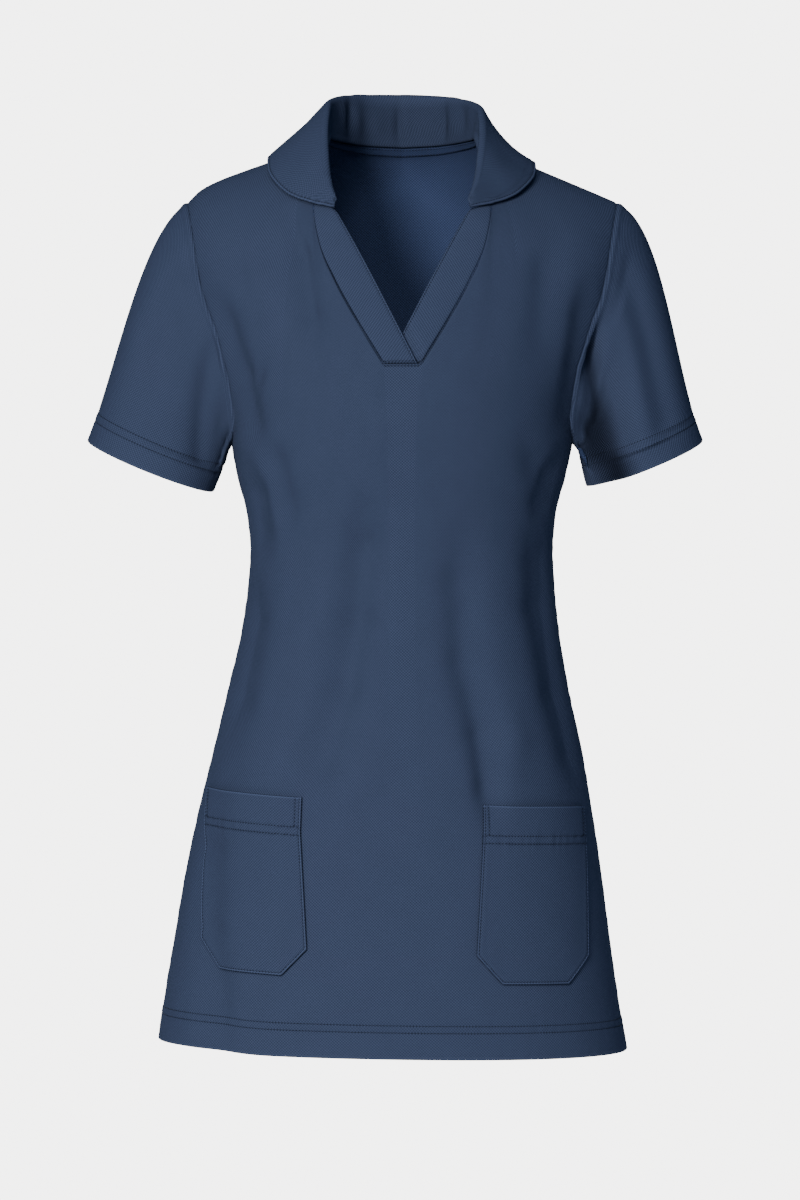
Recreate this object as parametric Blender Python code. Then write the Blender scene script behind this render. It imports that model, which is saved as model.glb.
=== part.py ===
"""Long polo shirt for a woman, filled out as it hangs when worn, with nobody in it.

Metres, +Z up. The front faces -Y and the wearer's left is +X. The origin is in the middle
of the neck, level with the inner ends of the shoulder seams. Every piece is a thin wall
on a grid of points: rows run up the piece and columns run across it.
"""

import math

import bpy
import numpy as np
from mathutils import Vector
from mathutils.bvhtree import BVHTree

# Cloth
SINGLE = 0.0012  # one layer of the knit
DOUBLE = 0.0022  # two layers, in the collar, the bands and the turned hems
SEAM_GAP = 0.0003  # between neighbouring pieces
PULL_BACK = 0.00018  # each panel's edge ends this far short of the seam line

# Body
HEM_HEIGHT = -0.787
HEM_TILT = -0.015  # the hem drops this much for each metre towards the wearer's left
HEM_RISE = 0.0032  # and rises by this at the wearer's right side seam
HEM_RISE_FROM = 0.11
HEM_RISE_OVER = 0.09
UNDERARM_HEIGHT = -0.262
WAIST_HEIGHT = -0.357
SHOULDER_TIP = 0.187  # half of the width from one armhole seam to the other
SHOULDER_ROUNDNESS = 1.75  # how squarely the cloth turns over the shoulder
NECK_WIDTH = 0.066  # half of it, where the shoulder seam meets the collar
BACK_NECK_HEIGHT = 0.003
NECK_POINT_HEIGHT = 0.004
V_FLOOR = -0.2005  # the level edge below the two bands
V_FLOOR_WIDTH = 0.0158  # half of it

BODY_COLUMNS = ("height", "right", "left", "front", "back", "squareness")
BODY = (
    (-0.800, 0.2140, 0.1965, 0.128, 0.122, 2.25),
    (-0.740, 0.2057, 0.1865, 0.126, 0.121, 2.25),
    (-0.690, 0.1972, 0.1795, 0.124, 0.120, 2.25),
    (-0.640, 0.1888, 0.1731, 0.121, 0.118, 2.25),
    (-0.585, 0.1772, 0.1649, 0.117, 0.113, 2.25),
    (-0.530, 0.1636, 0.1557, 0.112, 0.106, 2.25),
    (-0.480, 0.1518, 0.1449, 0.107, 0.098, 2.25),
    (-0.430, 0.1400, 0.1364, 0.103, 0.091, 2.25),
    (-0.390, 0.1340, 0.1322, 0.102, 0.088, 2.20),
    (-0.357, 0.1316, 0.1305, 0.103, 0.088, 2.20),
    (-0.325, 0.1347, 0.1331, 0.107, 0.091, 2.20),
    (-0.290, 0.1435, 0.1420, 0.114, 0.096, 2.15),
    (-0.262, 0.1485, 0.1480, 0.119, 0.099, 2.10),
    (-0.245, 0.1510, 0.1505, 0.121, 0.101, 2.05),
    (-0.200, 0.1655, 0.1655, 0.120, 0.104, 2.05),
    (-0.178, 0.1735, 0.1735, 0.116, 0.105, 2.05),
    (-0.135, 0.1875, 0.1875, 0.104, 0.104, 2.05),
    (-0.083, 0.2010, 0.2010, 0.087, 0.099, 2.05),
    (-0.030, 0.2100, 0.2100, 0.070, 0.091, 2.05),
    (0.040, 0.2200, 0.2200, 0.055, 0.083, 2.05),
)

# The line of the shoulder, and over how much height the cloth turns there
SHOULDER_COLUMNS = ("across", "right", "left", "turn")
SHOULDER = (
    (0.000, 0.0300, 0.0300, 0.060),
    (0.030, 0.0260, 0.0260, 0.068),
    (0.066, 0.0040, 0.0040, 0.085),
    (0.090, -0.0085, -0.0115, 0.080),
    (0.114, -0.0185, -0.0235, 0.075),
    (0.135, -0.0260, -0.0325, 0.068),
    (0.160, -0.0355, -0.0430, 0.060),
    (0.176, -0.0440, -0.0498, 0.057),
    (0.187, -0.0549, -0.0549, 0.055),
    (0.215, -0.0760, -0.0760, 0.055),
)

# The cut edge of the front panel along the V
NECK_COLUMNS = ("height", "across")
NECK = (
    (-0.2005, 0.0158),
    (-0.1550, 0.0430),
    (-0.1270, 0.0580),
    (-0.0955, 0.0715),
    (-0.0650, 0.0762),
    (-0.0350, 0.0748),
    (-0.0120, 0.0700),
    (0.0040, 0.0660),
)

# The armhole seam, from the underarm to the shoulder's tip
ARMHOLE_COLUMNS = ("height", "across")
ARMHOLE = (
    (-0.2620, 0.1480),
    (-0.2570, 0.1460),
    (-0.2470, 0.1450),
    (-0.2290, 0.1475),
    (-0.1780, 0.1600),
    (-0.1350, 0.1725),
    (-0.0830, 0.1815),
    (-0.0549, 0.1870),
)

# Soft folds: each row is a straight stretch, and a negative depth is a trough
FOLD_COLUMNS = ("panel", "x0", "z0", "x1", "z1", "half_width", "depth")
FOLDS = (
    ("front", -0.036, -0.320, -0.042, -0.480, 0.020, -0.0035),
    ("front", -0.042, -0.470, -0.060, -0.545, 0.022, -0.0030),
    ("front", 0.057, -0.320, 0.064, -0.460, 0.020, -0.0035),
    ("front", 0.064, -0.450, 0.078, -0.560, 0.020, -0.0035),
    ("front", 0.116, -0.390, 0.124, -0.440, 0.012, -0.0050),
    ("front", 0.124, -0.440, 0.152, -0.560, 0.012, -0.0045),
    ("front", -0.128, -0.400, -0.146, -0.520, 0.013, -0.0035),
    ("front", 0.104, -0.250, 0.124, -0.315, 0.014, -0.0035),
    ("front", -0.112, -0.260, -0.098, -0.300, 0.014, -0.0030),
    ("front", -0.104, -0.060, -0.082, -0.140, 0.014, -0.0030),
    ("front", -0.140, -0.150, -0.128, -0.200, 0.012, -0.0035),
    ("front", 0.140, -0.140, 0.126, -0.200, 0.012, -0.0035),
    ("front", -0.165, -0.590, -0.166, -0.700, 0.018, -0.0050),
    ("front", -0.166, -0.690, -0.153, -0.790, 0.018, -0.0045),
    ("back", -0.050, -0.330, -0.060, -0.520, 0.022, -0.0040),
    ("back", 0.046, -0.320, 0.062, -0.540, 0.022, -0.0040),
    ("back", 0.000, -0.300, 0.006, -0.420, 0.020, -0.0030),
    ("back", 0.116, -0.230, 0.090, -0.300, 0.015, -0.0040),
    ("back", -0.118, -0.235, -0.088, -0.310, 0.015, -0.0040),
    ("back", -0.130, -0.560, -0.146, -0.790, 0.016, -0.0050),
    ("back", 0.120, -0.540, 0.138, -0.790, 0.016, -0.0050),
)
PANEL_NUMBER = {"front": -1.0, "back": 1.0}
FOLD_FADE_POWER = 8  # folds die away close to the side seams and over the shoulders
FOLD_FADE = 1.6

# Sleeves: the opening at the cuff as an ellipse, one row for each side
SLEEVE_COLUMNS = ("side", "inner_x", "inner_z", "outer_x", "outer_z", "half_depth")
SLEEVES = (
    (-1, 0.1650, -0.3050, 0.2735, -0.2614, 0.050),
    (1, 0.1615, -0.3010, 0.2610, -0.2614, 0.049),
)
SLEEVE_LEAVES = (0.983, 0.0, -0.185)  # the way a sleeve leaves the armhole
SLEEVE_GAP = 0.0006
SLEEVE_RISES = 1.0  # how much it first follows the panels' own surface
SLEEVE_HEAD = 0.60  # how far that way is kept, as a share of the sleeve's length
SLEEVE_TAIL = 0.90
SLEEVE_HEM = 0.026
SLEEVE_LENGTH = 0.224  # along its outer side
CUFF_DROP = 0.0070  # how much lower the cuff's front is than its middle

# Collar: the top fold and the outer edge, from the middle of the back to the front end
COLLAR_COLUMNS = (
    "share", "fold_x", "fold_y", "fold_z", "edge_x", "edge_y", "edge_z",
    "left_lower", "left_out", "right_bulge", "left_bulge",
)
COLLAR = (
    (0.00, 0.0000, 0.0630, 0.0470, 0.0000, 0.0920, -0.0200, 0.0000, 0.0000, 0.0020, 0.0020),
    (0.25, 0.0435, 0.0445, 0.0450, 0.0700, 0.0760, -0.0230, 0.0025, 0.0020, 0.0020, -0.0010),
    (0.50, 0.0628, 0.0060, 0.0340, 0.1130, 0.0200, -0.0175, 0.0045, 0.0040, 0.0010, -0.0050),
    (0.65, 0.0645, -0.0270, 0.0100, 0.1150, -0.0280, -0.0310, 0.0030, 0.0025, 0.0010, -0.0040),
    (0.80, 0.0630, -0.0520, -0.0190, 0.1000, -0.0600, -0.0510, 0.0010, 0.0010, 0.0020, 0.0005),
    (0.92, 0.0600, -0.0665, -0.0430, 0.0770, -0.0730, -0.0620, 0.0000, 0.0005, 0.0010, 0.0005),
    (1.00, 0.0567, -0.0765, -0.0585, 0.0567, -0.0785, -0.0680, 0.0000, 0.0000, 0.0000, 0.0000),
)
COLLAR_NECK_POINT = 0.5  # the share at which the shoulder seam is
COLLAR_BAND = 0.9  # the share at which the neck band starts
COLLAR_SINKS = 0.0015  # the stand's lower edge is this far below the panels' edge
COLLAR_RADIUS = 0.0028  # of the fold
COLLAR_BULGE_OVER = 0.05  # a fall shorter than this bulges less
COLLAR_LIFT = 0.004  # the stand's front end is this far above the band
COLLAR_SWEEP = 0.0012  # room for the bends between two sections
COLLAR_LOOSE = 0.0008  # the fall lies a little loose on the panels
CLEAR = SINGLE / 2 + DOUBLE / 2 + SEAM_GAP
LIES_ABOVE = DOUBLE + SEAM_GAP + COLLAR_SWEEP

# Neck bands
BAND_TOP = -0.0600
BAND_SLANT = 0.006  # the top is this much lower at its inner end
BAND_TOP_INNER = 0.0575  # half of the width between the two inner edges at the top
BAND_BOTTOM_INNER = 0.0127  # how far each band's lower corner is past the middle
BAND_CROSSES_OVER = 0.010  # the lower band starts to dip this far from the upper one
BAND_ROOM = 0.0002
BAND_TOP_SHORT = 0.0010  # it stops this far below the collar's lower edge
BAND_DIP_ROOM = 0.0018  # between the two bands where they cross
BAND_LAST_STEP = 0.006  # no row is nearer than this to the band's top
BAND_LEVEL_FOR = 0.004  # and is behind it from this far on

TAPE_WIDTH = 0.0088
TAPE_BELOW_EDGE = 0.0034
TAPE_SHORT = 2  # the tape stops this many columns before each shoulder seam

# Pockets: one row each, measured on the panel
POCKET_COLUMNS = ("side", "inner_x", "top", "top_slope", "bottom", "bottom_slope")
POCKETS = (
    (-1, 0.0870, -0.5675, 0.06, -0.7185, 0.05),
    (1, 0.0690, -0.5740, -0.03, -0.7240, -0.03),
)
POCKET_LEAN = 0.055  # the inner edge leans out towards the top by this slope
POCKET_WIDTH = 0.110
POCKET_BEVEL = 0.0235  # cut off each lower corner
POCKET_RAISED = 0.0009  # room over the panel's bends
POCKET_GAPE = 0.0022  # how far the mouth stands open
POCKET_LIES = SINGLE + SEAM_GAP + POCKET_RAISED
POCKET_SETTLES = 0.0001
POCKET_REACH = 0.9985  # no pocket reaches past this share of the panel's half width
POCKET_ACROSS = (0.0, 0.11, 0.2136, 0.34, 0.46, 0.57, 0.68, 0.7864, 0.86, 0.93, 1.0)
POCKET_UP = (0.0, 0.16, 0.32, 0.48, 0.64, 0.79, 0.9, 1.0)

# Grid sizes
LOWER_ROWS = 18
UPPER_ROWS = 12
COLUMN_SWEEP = 3.0  # how late the columns by the neck corner swing in to it
COLUMN_SWEEP_WIDTH = 3.5  # in columns
TOP_CROWDING = 1.4  # rows crowd towards the shoulder where the cloth turns over
FRONT_COLUMNS = (1, 9, 10)  # of half the front: V floor, neck edge, shoulder
BACK_COLUMNS = (8, 7)  # of half the back: neck edge, shoulder
SLEEVE_ROWS = 9
BAND_COLUMNS = 6
STAND_STEPS = 3
FOLD_STEPS = 3
FALL_STEPS = 5
COLLAR_STATIONS = 20
COLLAR_CROWDING = 0.9
FINE = 400  # steps when a curve's length is measured

NAVY = (0.030, 0.058, 0.135)


def column(table, names, name):
    return np.array([row[names.index(name)] for row in table], float)


def curve(xs, ys, at):
    """A smooth curve through the points, which doesn't swing past them."""
    steps = np.diff(xs)
    slopes = np.diff(ys) / steps
    same_way = slopes[1:] * slopes[:-1] > 0
    total = np.where(same_way, slopes[1:] + slopes[:-1], 1.0)
    inner = np.where(same_way, 2 * slopes[1:] * slopes[:-1] / total, 0.0)
    tangents = np.concatenate([slopes[:1], inner, slopes[-1:]])
    at = np.clip(at, xs[0], xs[-1])
    i = np.clip(np.searchsorted(xs, at) - 1, 0, len(steps) - 1)
    t = (at - xs[i]) / steps[i]
    rest = 1 - t
    return (
        (1 + 2 * t) * rest**2 * ys[i]
        + t * rest**2 * steps[i] * tangents[i]
        + (3 - 2 * t) * t**2 * ys[i + 1]
        - rest * t**2 * steps[i] * tangents[i + 1]
    )


def read(table, names, name, at):
    """The named column of a table as a smooth curve over its first column."""
    return curve(column(table, names, names[0]), column(table, names, name), at)


def unit(vectors):
    size = np.linalg.norm(vectors, axis=-1, keepdims=True)
    return vectors / np.maximum(size, 1e-12)


def even(points, count):
    """Positions 0 to 1 along a finely sampled line, evenly spaced by its length."""
    steps = np.linalg.norm(np.diff(points, axis=0), axis=1)
    length = np.concatenate([[0.0], np.cumsum(steps)])
    wanted = np.linspace(0.0, length[-1], count + 1)
    return np.interp(wanted, length, np.linspace(0.0, 1.0, len(points)))


def shoulder_height(x):
    """The height of the shoulder line, which differs a little between the two sides."""
    right = read(SHOULDER, SHOULDER_COLUMNS, "right", np.abs(x))
    left = read(SHOULDER, SHOULDER_COLUMNS, "left", np.abs(x))
    return np.where(x < 0, right, left)


def half_width(side, height):
    return read(BODY, BODY_COLUMNS, "right" if side < 0 else "left", height)


def fold_depth(panel, x, z):
    """How far the folds push the cloth out (or, if negative, in) at a place."""
    total = np.zeros(np.broadcast(x, z).shape)
    for name, x0, z0, x1, z1, wide, depth in FOLDS:
        if name != panel:
            continue
        length = (x1 - x0) ** 2 + (z1 - z0) ** 2
        along = ((x - x0) * (x1 - x0) + (z - z0) * (z1 - z0)) / length
        held = np.clip(along, 0.0, 1.0)
        away = np.hypot(x - lerp(x0, x1, held), z - lerp(z0, z1, held))
        total = total + depth * np.exp(-((away / wide) ** 2))
    return total


def lerp(a, b, t):
    return a + (b - a) * t


def on_body(panel, x, z):
    """Points of the cloth's middle surface, at the places (x, z) seen from the front."""
    x, z = np.broadcast_arrays(np.asarray(x, float), np.asarray(z, float))
    wide = np.where(x < 0, half_width(-1, z), half_width(1, z))
    deep = read(BODY, BODY_COLUMNS, panel, z)
    power = read(BODY, BODY_COLUMNS, "squareness", z)
    share = np.clip(np.abs(x) / wide, 0.0, 1.0)
    ring = deep * (1 - share**power) ** (1 / power)
    drop = shoulder_height(x) - z
    turn = read(SHOULDER, SHOULDER_COLUMNS, "turn", np.abs(x))
    left = 1 - np.clip(drop / turn, 0.0, 1.0)
    over = (1 - left**SHOULDER_ROUNDNESS) ** (1 / SHOULDER_ROUNDNESS)
    y = PANEL_NUMBER[panel] * ring * over
    points = np.stack([x, y, z], axis=-1)
    out = unit(np.stack([x, y, np.zeros_like(z)], axis=-1))
    seam_fade = np.clip(over * (1 - share**FOLD_FADE_POWER) * FOLD_FADE, 0.0, 1.0)
    return points + out * (fold_depth(panel, x, z) * seam_fade)[..., None]


def armhole(panel, side, count):
    """Places (x, z) along the armhole seam, from the underarm to the shoulder's tip."""
    q = np.linspace(0.0, 1.0, FINE)
    low, high = ARMHOLE[0][0], ARMHOLE[-1][0]
    z = lerp(low, high, (1 - np.cos(math.pi * q)) / 2)
    x = side * read(ARMHOLE, ARMHOLE_COLUMNS, "across", z)
    at = even(on_body(panel, x, z), count)
    return np.stack([np.interp(at, q, x), np.interp(at, q, z)], axis=-1)


def front_top(side):
    """Places along the top of half the front: V floor, neck edge, shoulder seam."""
    floor, neck, shoulder = FRONT_COLUMNS
    flat = np.stack(
        [np.linspace(0, V_FLOOR_WIDTH, floor + 1)[:-1], np.full(floor, V_FLOOR)], axis=-1
    )
    z = np.linspace(V_FLOOR, NECK_POINT_HEIGHT, FINE)
    x = read(NECK, NECK_COLUMNS, "across", z)
    at = even(on_body("front", x, z), neck) * (FINE - 1)
    number = np.arange(FINE)
    edge = np.stack([np.interp(at, number, x), np.interp(at, number, z)], axis=-1)
    return with_shoulder(np.concatenate([flat, edge]), shoulder, side)


def back_top(side):
    """Places along the top of half the back: neck edge, shoulder seam."""
    neck, shoulder = BACK_COLUMNS
    q = np.linspace(0.0, 1.0, neck + 1)
    x = NECK_WIDTH * np.sin(q * math.pi / 2)
    edge = np.stack([x, back_neck_height(x)], axis=-1)
    return with_shoulder(edge, shoulder, side)


def back_neck_height(x):
    return lerp(BACK_NECK_HEIGHT, NECK_POINT_HEIGHT, np.abs(x) / NECK_WIDTH)


def with_shoulder(edge, count, side):
    x = np.linspace(NECK_WIDTH, SHOULDER_TIP, count + 1)[1:]
    z = shoulder_height(side * x)
    places = np.concatenate([edge, np.stack([x, z], axis=-1)])
    return places * [side, 1.0]


def hem_height(x):
    corner = np.clip((-x - HEM_RISE_FROM) / HEM_RISE_OVER, 0.0, 1.0)
    return HEM_HEIGHT + HEM_TILT * x + HEM_RISE * corner * corner * (3 - 2 * corner)


def half_panel(panel, side, top):
    """Half of the front or the back, from its middle line outwards."""
    last = len(top) - 1
    share = np.sin(np.linspace(0.0, math.pi / 2, last + 1))
    up = np.linspace(0.0, 1.0, LOWER_ROWS + 1)[:-1, None]
    z = lerp(HEM_HEIGHT, UNDERARM_HEIGHT, up) + 0 * share
    for _ in range(3):
        x = side * share * half_width(side, z)
        z = lerp(hem_height(x), UNDERARM_HEIGHT, up)
    low = np.stack([x, z], axis=-1)

    base_x = side * share * half_width(side, UNDERARM_HEIGHT)
    base = np.stack([base_x, np.full(last + 1, UNDERARM_HEIGHT)], axis=-1)
    t = 1 - (1 - np.linspace(0.0, 1.0, UPPER_ROWS + 1)) ** TOP_CROWDING
    from_corner = np.arange(last + 1) - neck_corner(panel)
    sweep = 1 + COLUMN_SWEEP * np.exp(-((from_corner / COLUMN_SWEEP_WIDTH) ** 2))
    t = np.broadcast_to(t[:, None], (len(t), last + 1))
    t = np.stack([t**sweep, t], axis=-1)
    hole = armhole(panel, side, UPPER_ROWS)
    hole[0] = base[-1]
    hole = hole[:, None]
    pull = (np.arange(last + 1) / last)[None, :, None] ** 2
    high = lerp(base[None], top[None], t)
    high = high + pull * (hole - lerp(hole[:1], hole[-1:], t[:, -1:]))
    places = np.concatenate([low, high])
    return on_body(panel, places[..., 0], places[..., 1])


def neck_corner(panel):
    """The column, counted from the middle, where the shoulder seam starts."""
    return sum(FRONT_COLUMNS[:2]) if panel == "front" else BACK_COLUMNS[0]


def panel_grid(panel):
    top = front_top if panel == "front" else back_top
    right = half_panel(panel, -1, top(-1))
    left = half_panel(panel, 1, top(1))
    return np.concatenate([right[:, :0:-1], left], axis=1)


def pulled_back(grid):
    """The grid with its four edges a hair inside the seam lines."""
    grid = grid.copy()
    for edge, inner in ((0, 1), (-1, -2)):
        grid[edge] += unit(grid[inner] - grid[edge]) * PULL_BACK
        grid[:, edge] += unit(grid[:, inner] - grid[:, edge]) * PULL_BACK
    return grid


def normals_of(grid, closed=False):
    """The way a grid faces at each point, from the faces round it.

    Its rows run up and its columns run to +X, so the front of the body faces -Y.
    """
    if closed:
        grid = np.concatenate([grid, grid[:, :1]], axis=1)
    facing = np.cross(grid[1:, 1:] - grid[:-1, :-1], grid[1:, :-1] - grid[:-1, 1:])
    total = np.zeros_like(grid)
    for rows in (slice(None, -1), slice(1, None)):
        for columns in (slice(None, -1), slice(1, None)):
            total[rows, columns] += facing
    if closed:
        total[:, 0] += total[:, -1]
        total = total[:, :-1]
    return unit(total)


def wall(name, grid, thickness, closed=False, normals=None):
    """An object: the grid as a closed wall, half of its thickness to each side."""
    rows, columns = grid.shape[:2]
    normals = normals_of(grid, closed) if normals is None else normals
    half = np.broadcast_to(np.reshape(thickness, (-1, 1)), (rows, columns)) / 2
    outer = grid + normals * half[..., None]
    inner = grid - normals * half[..., None]
    points = np.concatenate([outer.reshape(-1, 3), inner.reshape(-1, 3)])
    number = np.arange(rows * columns).reshape(rows, columns)
    if closed:
        number = np.concatenate([number, number[:, :1]], axis=1)
    corners = (number[:-1, :-1], number[:-1, 1:], number[1:, 1:], number[1:, :-1])
    faces = np.stack(corners, axis=-1).reshape(-1, 4)
    behind = rows * columns
    if closed:
        loops = [number[0], number[-1, ::-1]]
    else:
        round_it = (number[0, :-1], number[:-1, -1], number[-1, :0:-1], number[:, 0][::-1])
        loops = [np.concatenate(round_it)]
    rims = [
        np.stack([loop[1:], loop[:-1], loop[:-1] + behind, loop[1:] + behind], axis=-1)
        for loop in loops
    ]
    faces = np.concatenate([faces, faces[:, ::-1] + behind, *rims])
    if signed_volume(points, faces) < 0:
        faces = faces[:, ::-1]
    mesh = bpy.data.meshes.new(name)
    mesh.from_pydata(points.tolist(), [], faces.tolist())
    mesh.shade_smooth()
    mesh.set_sharp_from_angle(angle=math.radians(50))
    mesh.materials.append(cloth_material(name))
    piece = bpy.data.objects.new(name, mesh)
    bpy.context.scene.collection.objects.link(piece)
    return piece


def signed_volume(points, faces):
    a, b, c, d = (points[faces[:, i]] for i in range(4))
    return float((a * (np.cross(b, c) + np.cross(c, d))).sum() / 6)


def cloth_material(name):
    material = bpy.data.materials.new(name + "_cloth")
    material.use_nodes = True
    shader = material.node_tree.nodes["Principled BSDF"]
    shader.inputs["Base Color"].default_value = (*NAVY, 1.0)
    shader.inputs["Roughness"].default_value = 0.85
    shader.inputs["Metallic"].default_value = 0.0
    return material


def surface_tree(*grids):
    """A search tree over the middle surfaces of some pieces."""
    points, faces = [], []
    for grid in grids:
        rows, columns = grid.shape[:2]
        number = np.arange(rows * columns).reshape(rows, columns) + len(points)
        corners = (number[:-1, :-1], number[:-1, 1:], number[1:, 1:], number[1:, :-1])
        faces.extend(np.stack(corners, axis=-1).reshape(-1, 4).tolist())
        points.extend(grid.reshape(-1, 3).tolist())
    return BVHTree.FromPolygons(points, faces)


def kept_clear(tree, point, clearance):
    """The point, moved straight away from the nearest cloth if it is too near."""
    place, _, _, distance = tree.find_nearest(Vector(point))
    if distance >= clearance:
        return point
    return np.array(place + (Vector(point) - place).normalized() * clearance)


def laid_on(tree, point, clearance):
    """The point, moved out so that it lies at least this far above the cloth."""
    place, normal, _, _ = tree.find_nearest(Vector(point))
    if normal.dot(place - Vector((0.0, 0.0, WAIST_HEIGHT))) < 0:
        normal = -normal
    if (Vector(point) - place).dot(normal) >= clearance:
        return point
    return np.array(place + normal * clearance)


def make_panels():
    grids = {panel: panel_grid(panel) for panel in ("front", "back")}
    for panel, grid in grids.items():
        outward = normals_of(grid) * (1 if panel == "front" else -1)
        middle = grid.shape[1] // 2
        outward[-1, : middle - neck_corner(panel), 1] = 0.0
        outward[-1, middle + neck_corner(panel) + 1 :, 1] = 0.0
        outward = unit(outward)
        wall(panel, pulled_back(grid), SINGLE, normals=outward)
    return grids


def armhole_ring(side, grids):
    """The seam's points, the ways the cloth faces there, and the ways out of the body."""
    edge, inside = (0, 2) if side < 0 else (-1, -3)
    seam, facing, inward = [], [], []
    for panel, way in (("front", 1), ("back", -1)):
        grid = grids[panel]
        normals = normals_of(grid) * way
        rows = np.arange(LOWER_ROWS, len(grid))
        rows = rows if way > 0 else rows[-2:0:-1]
        seam.append(grid[rows, edge])
        facing.append(normals[rows, edge])
        inward.append(grid[rows - 1, inside])
    seam, facing, inward = map(np.concatenate, (seam, facing, inward))
    facing[0, 1] = 0.0
    facing[UPPER_ROWS, 1] = 0.0
    facing = unit(facing)
    along = np.roll(seam, -1, axis=0) - np.roll(seam, 1, axis=0)
    leaving = unit(np.cross(along, facing))
    wrong_way = ((seam - inward) * leaving).sum(axis=1, keepdims=True) < 0
    return seam, facing, np.where(wrong_way, -leaving, leaving)


def make_sleeve(side, grids):
    """A tube from the armhole seam to the cuff, one column for each armhole point."""
    name = "sleeve_right" if side < 0 else "sleeve_left"
    _, inner_x, inner_z, outer_x, outer_z, half_depth = SLEEVES[0 if side < 0 else 1]
    seam, facing, leaving = armhole_ring(side, grids)
    start = seam + leaving * SLEEVE_GAP

    turn = np.linspace(0.0, 2 * math.pi, len(seam), endpoint=False)[:, None]
    inner = np.array([side * inner_x, 0.0, inner_z])
    outer = np.array([side * outer_x, 0.0, outer_z])
    middle, reach = (inner + outer) / 2, (outer - inner) / 2
    forward = np.array([0.0, -half_depth, -CUFF_DROP])
    end = middle - np.cos(turn) * reach + np.sin(turn) * forward
    axis = unit(np.array([side * reach[2], 0.0, -abs(reach[0])]))

    length = np.linalg.norm(end - start, axis=1, keepdims=True)
    first = unit(np.array(SLEEVE_LEAVES) * [side, 1.0, 1.0] + SLEEVE_RISES * leaving)
    first = first * length * SLEEVE_HEAD
    last = axis * length * SLEEVE_TAIL
    t = sleeve_steps()[:, None, None]
    rest = 1 - t
    grid = (
        (1 + 2 * t) * rest**2 * start
        + t * rest**2 * first
        + (3 - 2 * t) * t**2 * end
        - rest * t**2 * last
    )
    normals = normals_of(grid, closed=True)
    if (normals[-1] * (grid[-1] - middle)).sum() < 0:
        normals = -normals
    normals[0] = facing
    thickness = np.where(np.arange(len(grid)) >= len(grid) - 2, DOUBLE, SINGLE)
    wall(name, grid, thickness, closed=True, normals=normals)
    return grid


def sleeve_steps():
    """Shares of a sleeve's length, with a row at the top of its turned hem."""
    to_hem = 1 - SLEEVE_HEM / SLEEVE_LENGTH
    return np.concatenate([np.linspace(0.0, to_hem, SLEEVE_ROWS), [1.0]])


def band_edge(side, grid):
    """The front panel's own edge points beside a band, with one between each two."""
    middle = grid.shape[1] // 2
    floor, neck, _ = FRONT_COLUMNS
    columns = middle + side * np.arange(floor, floor + neck + 1)
    edge = grid[-1, columns]
    between = (edge[1:] + edge[:-1]) / 2
    edge = np.concatenate([np.stack([edge[:-1], between], axis=1).reshape(-1, 3), edge[-1:]])
    below = edge[edge[:, 2] < BAND_TOP - BAND_LAST_STEP]
    top = [np.interp(BAND_TOP, edge[:, 2], edge[:, i]) for i in range(3)]
    return np.concatenate([below, [top]])


def make_band(side, grid):
    """A double strip from the V floor to the collar. The wearer's right one is on top."""
    edge = band_edge(side, grid)
    up = (edge[:, 2] - V_FLOOR) / (BAND_TOP - V_FLOOR)
    inner_x = side * lerp(-BAND_BOTTOM_INNER, BAND_TOP_INNER, up)
    across = np.linspace(0.0, 1.0, BAND_COLUMNS + 1)
    x = lerp(inner_x[:, None], edge[:, :1], across)
    z = edge[:, 2:] - BAND_SLANT * (1 - across) * up[:, None] ** 4
    band = on_body("front", x, z)
    band[:, -1] = edge
    run = unit(np.gradient(edge, axis=0) * [1, 0, 1])
    band[:, -1] += (SEAM_GAP + BAND_ROOM) * np.stack(
        [-side * run[:, 2], 0 * up, side * run[:, 0]], axis=-1
    )
    band[0, :, 2] += SEAM_GAP
    band[-1, :, 2] -= BAND_TOP_SHORT
    if side > 0:
        upper_edge = lerp(BAND_BOTTOM_INNER, -BAND_TOP_INNER, up)[:, None]
        past = (upper_edge + BAND_CROSSES_OVER - x) / (BAND_CROSSES_OVER - BAND_LEVEL_FOR)
        past = np.clip(past, 0.0, 1.0)
        band[..., 1] += past * past * (3 - 2 * past) * (DOUBLE + BAND_DIP_ROOM)
    name = "neck_band_right" if side < 0 else "neck_band_left"
    wall(name, band, DOUBLE)
    return band


def make_tape(grid):
    """A narrow strip inside the back, just under the collar, from the panel's own points."""
    middle = grid.shape[1] // 2
    reach = BACK_COLUMNS[0] - TAPE_SHORT
    panel = grid[:, middle - reach : middle + reach + 1]
    rows = []
    for below in np.linspace(TAPE_BELOW_EDGE + TAPE_WIDTH, TAPE_BELOW_EDGE, 3):
        rows.append([below_top(panel[::-1, i], below) for i in range(panel.shape[1])])
    tape = np.array(rows)
    inward = normals_of(tape)
    wall("back_neck_tape", tape + inward * (SINGLE + 2 * SEAM_GAP), SINGLE)


def below_top(line, distance):
    """The point this far along a line of points."""
    length = np.linalg.norm(np.diff(line, axis=0), axis=1)
    length = np.concatenate([[0.0], np.cumsum(length)])
    return np.stack([np.interp(distance, length, line[:, i]) for i in range(3)], axis=-1)


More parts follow.
